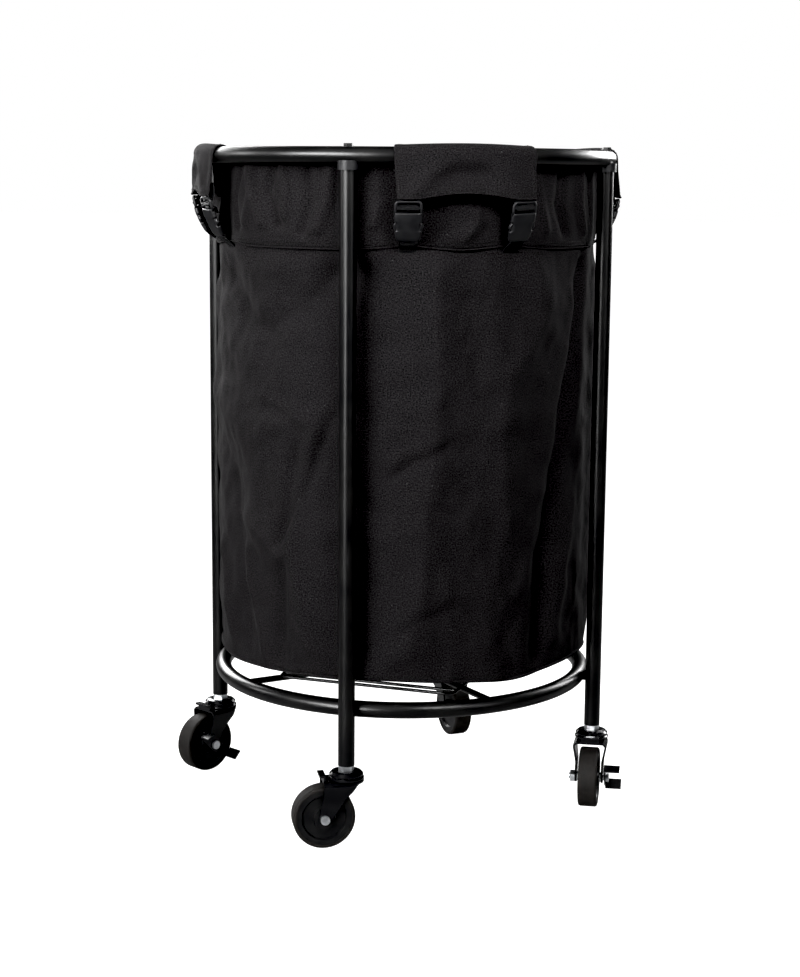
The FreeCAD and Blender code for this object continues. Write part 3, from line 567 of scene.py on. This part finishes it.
def smooth_steps(value, stops):
    """Eased value between (place, result) stops."""
    if value <= stops[0][0]:
        return stops[0][1]
    for (a, low), (b, high) in zip(stops, stops[1:]):
        if value <= b:
            return low + (high - low) * ease((value - a) / (b - a))
    return stops[-1][1]


# ---------------- stitches

# Along one stitch: (share of its length, thickness, rise), the last two as shares of the thread's radius.
STITCH_FORM = ((0.0, 0.3, -1.0), (0.15, 0.9, -0.1), (0.5, 1.0, 0.25), (0.85, 0.9, -0.1), (1.0, 0.3, -1.0))
STITCH_LENGTH, STITCH_GAP, THREAD_RADIUS = 0.0028, 0.0014, 0.00036


def stitch(start, end, out):
    """One stitch: a thread that dips into the cloth at both ends."""
    side = (end - start).cross(out).normalized()
    round_thread = oval(THREAD_RADIUS, THREAD_RADIUS, count=6)
    rings = []
    for share, fat, lift in STITCH_FORM:
        middle = start.lerp(end, share) + out * THREAD_RADIUS * lift
        rings.append([middle + (side * a + out * b) * fat for a, b in round_thread])
    return loft(rings)


def stitch_line(name, line):
    """A row of stitches along a list of (place, outward) samples of a seam."""
    walk = [0.0]
    for (a, _), (b, _) in zip(line, line[1:]):
        walk.append(walk[-1] + (b - a).length)

    def spot(at):
        """Place and outward direction at a distance along the line."""
        k = min(max(int(np.searchsorted(walk, at)) - 1, 0), len(walk) - 2)
        share = (at - walk[k]) / max(walk[k + 1] - walk[k], 1e-9)
        return line[k][0].lerp(line[k + 1][0], share), line[k][1]

    stitches, at = [], 0.0
    while at + STITCH_LENGTH < walk[-1]:
        start, out = spot(at)
        stitches.append(stitch(start, spot(at + STITCH_LENGTH)[0], out))
        at += STITCH_LENGTH + STITCH_GAP
    return add_piece(name, join(stitches), "bag_canvas", material=MATERIALS["thread"])


# ---------------- folds of the canvas

def line_distance(angle, height, line):
    """Distance along the cloth, in metres, to a line of (degrees, height in mm) points."""
    x, y = np.radians(angle) * WALL_RADIUS, height
    best = np.full(np.shape(x), 1e9)
    for (a0, z0), (a1, z1) in zip(line, line[1:]):
        px, py = math.radians(a0) * WALL_RADIUS, z0 * MM
        qx, qy = math.radians(a1) * WALL_RADIUS - px, z1 * MM - py
        share = np.clip(((x - px) * qx + (y - py) * qy) / (qx * qx + qy * qy), 0, 1)
        best = np.minimum(best, np.hypot(x - px - share * qx, y - py - share * qy))
    return best


def tent(distance, reach):
    """Sharp crest at distance 0 that eases out at reach, like a crease in stiff canvas."""
    share = np.clip(1 - distance / reach, 0, 1)
    return share * share * (1.6 - 0.6 * share)


# Folds of the wall in mm: how far out, how wide to each side, and the (degrees, height) points on the way.
WALL_FOLDS = [
    (-11.0, 58, [(-2, 700), (-12, 664), (-30, 616), (-41, 638), (-52, 672)]),
    (6.5, 60, [(-66, 530), (-46, 505), (-28, 500), (-8, 515)]),
    (-11.0, 64, [(-52, 440), (-47, 350), (-40, 230)]),
    (-8.5, 20, [(-7, 512), (-14, 440), (-25, 358)]),
    (6.0, 18, [(-11, 500), (-17, 416), (-21, 362)]),
    (-6.0, 15, [(-18, 474), (-24.6, 360)]),
    (8.5, 34, [(-40, 381), (-25, 354), (-20, 340), (-16, 293), (-14, 230)]),
    (-8.5, 20, [(-22.7, 335), (-24, 289), (-24, 215)]),
    (9.0, 22, [(-41, 340), (-36, 267), (-29, 208)]),
    (7.0, 22, [(-62, 330), (-55, 264), (-49, 210)]),
    (-3.5, 12, [(-30, 524), (-22, 520), (-17, 505), (-12, 503)]),
    (3.0, 10, [(-32, 540), (-25, 528), (-17, 515), (-10, 495)]),
    (8.0, 52, [(24, 700), (24.5, 600), (24, 470), (21, 417), (21, 340), (17, 240)]),
    (6.5, 50, [(57, 700), (62, 648), (60, 625), (47, 566), (44, 500), (47, 400)]),
    (-15.0, 30, [(84, 700), (79, 600), (72, 507), (70, 467), (62, 345), (60, 215)]),
    (6.0, 26, [(78, 400), (72, 330), (68, 240)]),
    (-5.0, 40, [(4, 700), (5, 500), (5, 240)]),
    (-4.5, 13, [(12, 450), (18, 468), (22, 472), (27, 485)]),
    (2.6, 12, [(12, 464), (19, 482), (26, 494)]),
    (-2.2, 11, [(21, 417), (28, 404), (38, 386)]),
    (1.8, 10, [(24, 422), (31, 412), (39, 390)]),
    (-2.4, 16, [(12, 255), (21, 278), (30, 290)]),
    (1.2, 6, [(9, 509), (30, 506), (53, 506)]),
    (9.5, 60, [(101, 735), (101, 560), (102, 400), (101, 200)]),
    (4.0, 30, [(110, 690), (118, 580), (112, 450), (120, 320), (116, 220)]),
    (-5.0, 28, [(135, 680), (140, 550), (132, 420), (138, 260)]),
    (4.5, 34, [(160, 700), (154, 600), (162, 470), (156, 330), (160, 220)]),
    (-3.5, 20, [(176, 640), (170, 550), (178, 460)]),
    (5.0, 36, [(196, 700), (204, 580), (198, 440), (206, 300), (202, 220)]),
    (-4.5, 26, [(222, 660), (216, 540), (224, 400), (219, 250)]),
    (4.0, 30, [(242, 700), (248, 600), (240, 480), (246, 360), (243, 230)]),
    (-5.5, 30, [(268, 680), (262, 560), (270, 420), (264, 240)]),
    (4.5, 28, [(286, 660), (291, 540), (284, 400), (290, 260)]),
    (-2.5, 14, [(150, 360), (166, 330), (176, 345)]),
    (-2.5, 14, [(228, 480), (240, 455), (252, 470)]),
]
# The seams hold the folds in: (distance from the seam over which they fade, share left at the seam).
HELD_AT_BASE = (0.035, 0.25)
HELD_AT_HEADER = (0.030, 0.20)
# The header seam rides up at each buckle: (rise, degrees to each side).
TIE_PULL, TIE_REACH = 0.0045, 9.0
# The bottom edge's mean rise (mm) and its waves: (mm, how many round the bag, start in radians).
EDGE_RISE = 4.5
EDGE_WAVES = ((1.8, 2, 0.6), (1.2, 5, 2.0), (0.8, 9, 0.0))
# It hangs slack between the bars in two places: where, by how much (mm) and degrees to each side.
SLACK_ANGLES, SLACK_DROP, SLACK_REACH = (50, 230), 8, 13
# Small dents in the cloth: (how many per metre, depth as a share).
DENTS = ((28, 1.6), (75, 0.7), (160, 0.3))


def fold_offset(angle, height, folds):
    """How far a list of folds moves the cloth out, in metres."""
    total = np.zeros(np.shape(angle))
    for out, reach, line in folds:
        middle = sum(a for a, z in line) / len(line)
        total += out * MM * tent(line_distance(near_turn(angle, middle), height, line), reach * MM)
    return total


def wall_offset(angle, height):
    """How far the wall stands out of its round shape, in metres."""
    (base_fade, base_share), (header_fade, header_share) = HELD_AT_BASE, HELD_AT_HEADER
    hold = np.clip((height - BASE_LEVEL) / base_fade, base_share, 1)
    hold = hold * np.clip((SEAM_LEVEL - height) / header_fade, header_share, 1)
    return fold_offset(angle, height, WALL_FOLDS) * hold


def seam_lift(angle):
    """The header seam rides up at each buckle."""
    return TIE_PULL * nearness(angle, BUCKLE_ANGLES, TIE_REACH)


def base_edge(angle):
    """Height of the bag's bottom edge: a little uneven, and slack between the bars in two places."""
    turn = np.radians(angle)
    waves = EDGE_RISE + sum(high * np.sin(count * turn + start) for high, count, start in EDGE_WAVES)
    return BASE_LEVEL + MM * (waves - SLACK_DROP * nearness(angle, SLACK_ANGLES, SLACK_REACH))


def crumple(points, depth):
    """Small uneven dents all over a cloth."""
    for row in points:
        for p in row:
            push = sum(noise.noise(Vector(p) * fine) * share for fine, share in DENTS)
            p[:2] *= 1 + push * depth / math.hypot(p[0], p[1])


# ---------------- bag wall and base

# Cloth thicknesses, and how far the wall runs up behind the header.
WALL_CLOTH, DOUBLED_CLOTH, FLAP_CLOTH = 0.0014, 0.0016, 0.0020
WALL_TUCK = 0.010
WALL_INSET = 0.001
WALL_DENT, HEADER_DENT, BASE_DENT = 0.0021, 0.0006, 0.0012
BASE_SAG = 0.003
# Radii of the cords along the edges, and how far stitches stand off the middle of a cloth.
WELT_CORD, FOLD_CORD, BINDING_CORD = 0.0019, 0.0012, 0.0015
STITCH_LIFT = 0.0010


def wall_radius(angle, height):
    """Distance of the wall's cloth from the cart's axis."""
    return WALL_RADIUS - WALL_INSET + wall_offset(angle, height)


def make_wall():
    """The hanging cylinder of the bag, from its base seam to just under the header."""
    columns, rows = 288, 84
    angle, share = np.meshgrid(np.arange(columns) * 360 / columns, np.linspace(0, 1, rows))
    bottom, top = base_edge(angle), SEAM_LEVEL + WALL_TUCK + seam_lift(angle)
    height = bottom + (top - bottom) * share
    points = round_point(angle, wall_radius(angle, height), height)
    crumple(points, WALL_DENT)
    flat = (math.tau * WALL_RADIUS, SEAM_LEVEL + WALL_TUCK - BASE_LEVEL)
    wall = cloth_grid("bag_wall_cloth", points, True, *flat)
    thicken(wall, WALL_CLOTH)
    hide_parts("bag_wall")


def make_base():
    """Round bottom panel that sags a little between its rim and the middle."""
    columns, rows = 120, 24
    angle, share = np.meshgrid(np.arange(columns) * 360 / columns, np.linspace(0.02, 1, rows))
    edge = base_edge(angle)
    radius = share * (wall_radius(angle, edge) - 0.0006)
    middle = BASE_LEVEL - BASE_SAG
    points = round_point(angle, radius, middle + (edge + 0.0005 - middle) * share ** 5)
    for row in points:
        for p in row:
            loose = 1 - 0.8 * (math.hypot(p[0], p[1]) / WALL_RADIUS) ** 4
            p[2] += BASE_DENT * loose * noise.noise(Vector((p[0] * 22, p[1] * 22, 3.1)))
    faces, corners = grid_faces(columns, rows, True)
    faces.append(tuple(reversed(range(columns))))
    corners.extend((i, 0) for i in reversed(range(columns)))
    flat = points.reshape(-1, 3)
    uvs = [tuple(flat[j * columns + i % columns][:2]) for i, j in corners]
    base = add_piece("bag_base_cloth", (flat, faces, uvs), "bag_canvas")
    thicken(base, DOUBLED_CLOTH)
    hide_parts("bag_base")


def edge_cord(name, place_at, thickness):
    """A covered cord sewn round the bag along place_at(angle), which gives its radius and height."""
    path = []
    for angle in np.linspace(0, 360, 300, endpoint=False):
        radius, height = place_at(angle)
        place = Vector(round_point(angle, radius, height))
        path.append((place, outward(place), UP))
    add_piece(name, sweep(path, oval(thickness, thickness, count=10)), "bag_canvas")


def make_base_welt():
    """Piping round the bottom edge, where the wall is sewn to the base."""
    def place_at(angle):
        edge = base_edge(angle)
        return wall_radius(angle, edge) + 0.0004, edge - 0.0002
    edge_cord("bag_base_welt", place_at, WELT_CORD)


# ---------------- header band

# Gathers of the header, in the same form as the wall's folds; a second copy goes round the back.
HEADER_FOLDS = [
    (3.0, 12, [(-34, 812), (-33, 780), (-30, 745)]),
    (-3.0, 12, [(-41, 805), (-44, 775), (-42, 740)]),
    (2.4, 11, [(-22, 812), (-20, 785), (-21, 755)]),
    (-2.6, 12, [(-13, 808), (-12, 770), (-15, 735)]),
    (2.8, 13, [(-6, 812), (-7, 775), (-10, 740)]),
    (2.2, 10, [(7, 812), (8, 780), (6, 745)]),
    (-2.2, 13, [(24, 770), (26, 745), (24, 728)]),
    (2.2, 15, [(33, 775), (35, 750), (31, 728)]),
    (2.6, 12, [(53, 812), (55, 775), (58, 740)]),
    (-3.4, 14, [(66, 812), (63, 770), (67, 735)]),
    (3.0, 14, [(76, 812), (74, 770), (78, 735)]),
    (-2.4, 10, [(84, 810), (83, 780), (86, 750)]),
    (2.6, 14, [(98, 810), (97, 780), (100, 740)]),
    (-2.6, 14, [(114, 775), (117, 750), (114, 730)]),
    (2.4, 14, [(128, 770), (126, 745), (129, 730)]),
    (2.8, 13, [(144, 812), (146, 780), (143, 745)]),
    (-2.8, 13, [(155, 812), (153, 780), (157, 745)]),
]
GATHER = 2.4
HEADER_BULGE = 0.0056
HEADER_INSET = 0.0004
HEADER_WIDEST = 0.252
HEADER_STITCHES = (0.0030, 0.0075)
# How far inside the ring tube's inner side the header stays, under a flap and elsewhere.
UNDER_FLAP_GAP, BESIDE_RING_GAP = 0.0056, 0.0020
# Where the header starts to draw in for that, and over what distance.
DRAWN_BESIDE_FLAP = (12, 11)
DRAWN_BELOW_TAIL = (0.026, 0.024)
DRAWN_BELOW_RING = (0.012, 0.010)


def header_offset(angle, height):
    """Gathers of the header, in metres."""
    total = np.zeros(np.shape(angle))
    for half in (0, 180):
        turned = [(out, reach, [(a + half, z) for a, z in line]) for out, reach, line in HEADER_FOLDS]
        total += GATHER * fold_offset(angle, height, turned)
    return total


def drawn_in(distance, setting):
    """0 to 1 as distance falls from the setting's start over its length."""
    start, length = setting
    return np.clip((start - distance) / length, 0, 1)


def header_limit(angle, height):
    """The widest that the header can be without touching the flaps' tails or the ring."""
    inside_ring = RING_RADIUS - TUBE
    aside = np.min([np.abs(near_turn(angle, place) - place) for place in FLAP_ANGLES.values()], axis=0)
    covered = ease(drawn_in(aside - FLAP_HALF_ANGLE, DRAWN_BESIDE_FLAP))
    high = drawn_in(FLAP_TAIL_LEVEL - height, DRAWN_BELOW_TAIL)
    limit = HEADER_WIDEST + (inside_ring - UNDER_FLAP_GAP - HEADER_WIDEST) * high * covered
    near_ring = drawn_in(RING_LEVEL - TUBE - height, DRAWN_BELOW_RING)
    return np.minimum(limit, HEADER_WIDEST + (inside_ring - BESIDE_RING_GAP - HEADER_WIDEST) * near_ring)


def header_place(angle, share):
    """Radius and height of the header at a share of its way up from the seam."""
    bottom = SEAM_LEVEL + seam_lift(angle)
    height = bottom + (HEADER_TOP - 0.002 - bottom) * share
    pinch = np.maximum(nearness(angle, BUCKLE_ANGLES, 5.0), 0.5 * nearness(angle, POST_ANGLES, 9.0))
    swell = np.sin(math.pi * np.clip(share, 0, 1) ** 0.8) ** 0.7
    radius = HEADER_RADIUS - HEADER_INSET + HEADER_BULGE * (1 - pinch) * swell
    radius = radius + header_offset(angle, height) * np.clip(share / 0.18, 0.15, 1)
    return np.minimum(radius, header_limit(angle, height)), height


def make_header():
    """Doubled header band round the outside of the wall, gathered between the flaps."""
    columns, rows = 360, 32
    angle, share = np.meshgrid(np.arange(columns) * 360 / columns, np.linspace(0, 1, rows))
    radius, height = header_place(angle, share)
    points = round_point(angle, radius, height)
    crumple(points, HEADER_DENT)
    flat = (math.tau * HEADER_RADIUS * 1.01, HEADER_TOP - SEAM_LEVEL)
    header = cloth_grid("bag_header_cloth", points, True, *flat)
    thicken(header, DOUBLED_CLOTH)
    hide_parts("bag_header")


def make_header_edges():
    """Folded lower edge, bound upper edge and two rows of stitches above the seam."""
    def lower(angle):
        radius, height = header_place(angle, 0.0)
        return radius + 0.0006, height

    def upper(angle):
        radius, height = header_place(angle, 1.0)
        return radius, height + 0.0004
    edge_cord("header_lower_fold", lower, FOLD_CORD)
    edge_cord("header_upper_binding", upper, BINDING_CORD)
    for row, lift in enumerate(HEADER_STITCHES):
        line = []
        for angle in np.linspace(0, 360, 721):
            radius, height = header_place(angle, lift / (HEADER_TOP - SEAM_LEVEL))
            place = Vector(round_point(angle, radius + STITCH_LIFT, height))
            line.append((place, outward(place)))
        stitch_line(f"header_stitches_{row}", line)


# ---------------- flaps over the top ring

# Sizes in metres; across a flap runs from -1 to 1, and down its free leg from 0 to 1.
FLAP_BEND = TUBE + 0.0016
FLAP_LEG = 0.0485
FLAP_ARCH, ARCH_WIDTH = 0.0065, 0.72
BEND_PUFF, TAIL_LEAN = 0.0024, 0.0022
LEG_NARROWING, TAIL_NARROWING, TAIL_TAPER = 0.05, 0.24, 0.020
FLAP_COLUMNS = 65
TAIL_ROWS, BEND_ROWS, LEG_ROWS = 8, 12, 18
SIDE_HEM, LOWER_HEM, HEM_STITCHES = 4, 3, 3
HEM_FOLD = (0.0019, 0.0013)
# Relief of the free leg in mm, and how the hollow and the ridges grow down it.
HOLLOW, RIDGE, DIMPLE, FLARE = 8.0, 2.2, 1.6, 4.4
HOLLOW_GROWTH = [(0.05, 0), (0.5, 1), (1.0, 0.6)]
RIDGE_GROWTH = [(0.0, 0), (0.45, 0.7), (1.0, 1)]
CREASE_DEPTH = 0.0010


def flap_section(across):
    """(radius, height) points of a flap from its tail up, over the ring and down to its hem."""
    section = []
    for t in np.arange(TAIL_ROWS) / TAIL_ROWS:
        radius = RING_RADIUS - FLAP_BEND - TAIL_LEAN * (1 - t) ** 1.5
        section.append((radius, FLAP_TAIL_LEVEL + (RING_LEVEL - FLAP_TAIL_LEVEL) * t))
    for t in np.arange(BEND_ROWS) / BEND_ROWS:
        turn = math.pi * (1 - t)
        bend = FLAP_BEND + BEND_PUFF * math.cos(across * math.pi / 2) * math.sin(turn)
        section.append((RING_RADIUS + bend * math.cos(turn), RING_LEVEL + bend * math.sin(turn)))
    drop = FLAP_LEG - FLAP_ARCH * max(0.0, 1 - (across / ARCH_WIDTH) ** 2) ** 1.3
    for t in np.arange(LEG_ROWS + 1) / LEG_ROWS:
        section.append((RING_RADIUS + FLAP_BEND + flap_swell(across, t), RING_LEVEL - drop * t))
    return section


def flap_swell(across, down):
    """How far the free leg stands off: a hollow, a ridge to each strap and a flared hem."""
    width = 0.20 + 0.36 * down
    swell = FLARE * down - HOLLOW * math.exp(-(across / width) ** 4) * smooth_steps(down, HOLLOW_GROWTH)
    for way in (-1, 1):
        ridge = way * (0.30 + 0.52 * down)
        swell += RIDGE * math.exp(-((across - ridge) / 0.12) ** 2) * smooth_steps(down, RIDGE_GROWTH)
        swell -= DIMPLE * math.exp(-((across - 0.86 * way) / 0.12) ** 2 - ((down - 0.38) / 0.22) ** 2)
    return MM * swell


def narrowing(radius, height):
    """Share by which a flap is narrower than at its bend: a little at the hem, more at the tail."""
    below = max(0.0, RING_LEVEL - height)
    if radius > RING_RADIUS:
        return LEG_NARROWING * below / FLAP_LEG
    return TAIL_NARROWING * min(1.0, below / TAIL_TAPER)


def flap_points(side):
    """Rows of points across a flap, from its tail to its hem."""
    grid = []
    for across in np.linspace(-1, 1, FLAP_COLUMNS):
        column = []
        for radius, height in flap_section(across):
            turn = across * FLAP_HALF_ANGLE * (1 - narrowing(radius, height))
            column.append(round_point(FLAP_ANGLES[side] + turn, radius, height))
        grid.append(column)
    return np.array(grid).transpose(1, 0, 2).copy()


def crease(points, seed):
    """Unevenness of the free leg, different on each flap."""
    first = TAIL_ROWS + BEND_ROWS
    for j, row in enumerate(points):
        share = max(0.0, (j - first) / LEG_ROWS)
        for p in row:
            push = noise.noise(Vector(p) * 45 + Vector((seed, 0, 0))) + 0.5 * noise.noise(Vector(p) * 110)
            p[:2] *= 1 + CREASE_DEPTH * (0.25 + share) * push / math.hypot(p[0], p[1])


def thicken_hems(flap, rows, columns):
    """Double the cloth along the side hems and the lower hem."""
    hem = flap.vertex_groups.new(name="hem")
    for j in range(rows):
        for i in range(columns):
            double = i < SIDE_HEM or i >= columns - SIDE_HEM or j >= rows - LOWER_HEM
            hem.add([j * columns + i], 1.0 if double else 0.0, "REPLACE")
    solid = thicken(flap, FLAP_CLOTH)
    solid.vertex_group = "hem"
    solid.thickness_vertex_group = 0.6


def stitch_flap(side, points):
    """Stitch lines inside the side hems and above the lower hem."""
    rows, columns = points.shape[:2]
    sewn_rows = range(TAIL_ROWS + HEM_STITCHES, rows)
    lines = {"left": [(j, HEM_STITCHES - 1) for j in sewn_rows],
             "right": [(j, columns - HEM_STITCHES) for j in sewn_rows],
             "hem": [(rows - HEM_STITCHES, i) for i in range(HEM_STITCHES, columns - HEM_STITCHES)]}
    for name, cells in lines.items():
        line = []
        for j, i in cells:
            along = points[min(j + 1, rows - 1), i] - points[max(j - 1, 0), i]
            across = points[j, min(i + 1, columns - 1)] - points[j, max(i - 1, 0)]
            out = Vector(np.cross(along, across)).normalized()
            place = Vector(points[j, i])
            axis = outward(place) * RING_RADIUS + UP * min(place.z, RING_LEVEL)
            if out.dot(place - axis) < 0:
                out.negate()
            line.append((place + out * STITCH_LIFT, out))
        stitch_line(f"flap_{side}_stitches_{name}", line)


def make_flap(side):
    """One canvas flap that lies over the top ring, with its hems and stitches."""
    points = flap_points(side)
    crease(points, 3.0 * list(FLAP_ANGLES).index(side))
    width = 2 * math.radians(FLAP_HALF_ANGLE) * RING_RADIUS
    length = FLAP_LEG + math.pi * FLAP_BEND + RING_LEVEL - FLAP_TAIL_LEVEL
    flap = cloth_grid(f"flap_{side}_cloth", points, False, width, length)
    thicken_hems(flap, *points.shape[:2])
    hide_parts("flap_" + side)
    path = [(Vector(p), outward(p), UP) for p in points[-1]]
    add_piece(f"flap_{side}_hem_fold", sweep(path, oval(*HEM_FOLD, count=12), False), "bag_canvas")
    stitch_flap(side, points)


# ---------------- buckles and straps
# Buckle coordinates are in mm: X across, -Y out of the bag, Z up along the buckle.

BUCKLE_ORBIT, BUCKLE_LEVEL = 0.263, 0.751
BUCKLE_ROLLS = (0.0, -3.0, 2.0, -2.0, 1.5, -1.0, -1.5, 2.0)
BUCKLE_TILT = 22
# Webbing: half its width and half its thickness.
HEM_WEBBING, SEAM_WEBBING = (12.5, 0.7), (11.0, 1.1)


def buckle_places():
    """Placements of the eight buckles, tilted out at the top and rolled a little to one side."""
    places = []
    out = Matrix.Translation((0, -BUCKLE_ORBIT, BUCKLE_LEVEL))
    for angle, roll in zip(BUCKLE_ANGLES, BUCKLE_ROLLS):
        lean = rotation(BUCKLE_TILT, "X") @ rotation(roll, "Y")
        places.append(rotation(angle, "Z") @ out @ lean @ Matrix.Scale(MM, 4))
    return places


def bow(z):
    """How far the buckle bends outwards at a place along it."""
    return -2.4 * (1 - (z / 25) ** 2) + 0.8


def buckle_cover():
    """Smooth female half with softly rounded ends and a window in each side."""
    outline = [(-25.0, 11.2), (-24.5, 12.6), (-23.2, 13.8), (-20.5, 14.7), (-15, 15.4), (-11.5, 16.0),
               (-10.8, 14.2), (-0.6, 14.4), (0.2, 16.4), (4, 16.4), (8, 16.1), (10.6, 15.6), (11.0, 15.0)]
    profile = [(-25, 1.8), (-24.4, 2.7), (-21, 3.4), (-5, 4.1), (6, 3.9), (10.4, 3.6), (11, 3.0)]
    cuts = (-25, -24.8, -24.4, -23.6, -22, -19, -15, -12.5, -11.6, -11.2, -10.8, -8,
            -5, -2, -0.6, -0.2, 0.2, 2, 5, 8, 9.6, 10.4, 10.8, 11.0)
    rings = []
    for z in cuts:
        section = oval(smooth_steps(z, outline), smooth_steps(z, profile), 3.6, 40)
        rings.append([(x, y + bow(z), z) for x, y in section])
    return loft(rings)


def buckle_prongs():
    """The two sprung arms of the male half, which show in the windows."""
    shapes = []
    for way in (-1, 1):
        rings = []
        for z in (-10.6, -10.0, -8.4, -6.2, -4.0, -1.8, -0.7):
            out = smooth_steps(z, [(-10.6, 14.0), (-8.4, 16.4), (-6.2, 17.2), (-1.8, 15.6), (-0.7, 15.0)])
            deep = 2.3 if -10.2 < z < -1.0 else 1.6
            rings.append([(way * (13.0 + (out - 13.0) / 2) + x, y + bow(z), z)
                          for x, y in oval((out - 12.0) / 2, deep, 3.0, 16)])
        shapes.append(loft(rings))
    return join(shapes)


def buckle_ladder():
    """Frame with a middle bar that the strap is threaded over."""
    corner, side, top, foot, middle = 4.0, 14.6, 23.3, 8.0, 16.0
    left = [(-side - 0.3, foot), (-side - 0.1, 14.0)]
    left += [(-side + corner - corner * math.cos(t), top - corner + corner * math.sin(t))
             for t in np.linspace(0, math.pi / 2, 7)]
    left += [(-6, top)]
    outline = left + [(0, top)] + [(-x, z) for x, z in reversed(left)]
    path = []
    for i, (x, z) in enumerate(outline):
        (xa, za), (xb, zb) = outline[max(i - 1, 0)], outline[min(i + 1, len(outline) - 1)]
        out = Vector((za - zb, 0, xb - xa)).normalized()
        path.append((Vector((x, bow(z), z)), out, Vector((0, 1, 0))))
    bar = [(Vector((x, bow(middle), middle)), UP, Vector((0, 1, 0))) for x in np.linspace(-side, side, 9)]
    return join([sweep(path, oval(1.8, 1.9, 2.6), False), sweep(bar, oval(1.5, 1.3, 2.4, 12), False)])


def ribbon(spine, half_width, half_thickness):
    """Webbing along a spine of (y, z) points in buckle coordinates."""
    spine = smooth_line(spine)
    path = []
    for i, (y, z) in enumerate(spine):
        (ya, za), (yb, zb) = spine[max(i - 1, 0)], spine[min(i + 1, len(spine) - 1)]
        across = Vector((0, zb - za, ya - yb)).normalized()
        path.append((Vector((0, y, z)), Vector((1, 0, 0)), across))
    return sweep(path, oval(half_width, half_thickness, 5.0, 32), False)


def smooth_line(points, steps=5):
    """Catmull-Rom curve through a list of points."""
    line = []
    padded = [points[0]] + points + [points[-1]]
    for a, b, c, d in zip(padded, padded[1:], padded[2:], padded[3:]):
        for i in range(steps):
            t = i / steps
            line.append(tuple(0.5 * (2 * q + (r - p) * t + (2 * p - 5 * q + 4 * r - s) * t ** 2
                                     + (3 * q - p - 3 * r + s) * t ** 3) for p, q, r, s in zip(a, b, c, d)))
    return line + [points[-1]]


def make_buckles():
    """Eight curved side-release buckles with their straps, one piece for each kind."""
    places = buckle_places()
    cover = add_piece("buckle_covers", copies(buckle_cover(), places), "buckle_plastic")
    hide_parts("buckle_shells")
    add_piece("buckle_prongs", copies(buckle_prongs(), places), "buckle_plastic")
    ladder = add_piece("buckle_frames", copies(buckle_ladder(), places), "buckle_plastic")
    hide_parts("buckle_ladders")
    threaded = [(13.4, 39.0), (9.8, 30.5), (7.0, 25.0), (5.0, 21.5), (2.4, 19.4), (-1.0, 18.5),
                (-3.1, 17.0), (-3.1, 15.0), (-1.0, 13.6), (2.6, 12.6), (5.0, 10.0), (5.2, 3.0)]
    hem = add_piece("hem_strap_webbing", copies(ribbon(threaded, *HEM_WEBBING), places), "webbing")
    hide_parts("hem_straps")
    sewn = [(-0.8, -20.0), (-0.2, -25.0), (2.4, -30.0), (6.4, -35.5), (9.6, -40.0), (10.8, -43.5)]
    seam = add_piece("seam_strap_webbing", copies(ribbon(sewn, *SEAM_WEBBING), places), "webbing")
    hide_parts("seam_straps")


# ---------------- hard parts from CAD

# Width of the rounded edges, by the first word of the node's name.
SOFTENED = {"fork": 0.0005, "brake": 0.0008, "lower": 0.0003, "upper": 0.0003, "axle": 0.00025,
            "wheel": 0.0004, "saddle": 0.0004, "ring": 0.0004, "caster": 0.0003}
SHARP_EDGE = 32


def soften_edges():
    """Small rounds on the pressed, turned and moulded parts."""
    for name, node in frame["nodes"].items():
        width = SOFTENED.get(name.split("_")[0])
        if width and not name.startswith("lower_ring"):
            bevel = node.modifiers.new("rounded_edges", "BEVEL")
            bevel.width = width
            bevel.segments = 2
            bevel.limit_method = "ANGLE"
            bevel.angle_limit = math.radians(SHARP_EDGE)
            bevel.harden_normals = True


add_camera()
add_floor()
add_light()
dress_frame()
soften_edges()
make_wall()
make_base()
make_base_welt()
make_header()
make_header_edges()
for flap_side in FLAP_ANGLES:
    make_flap(flap_side)
make_buckles()
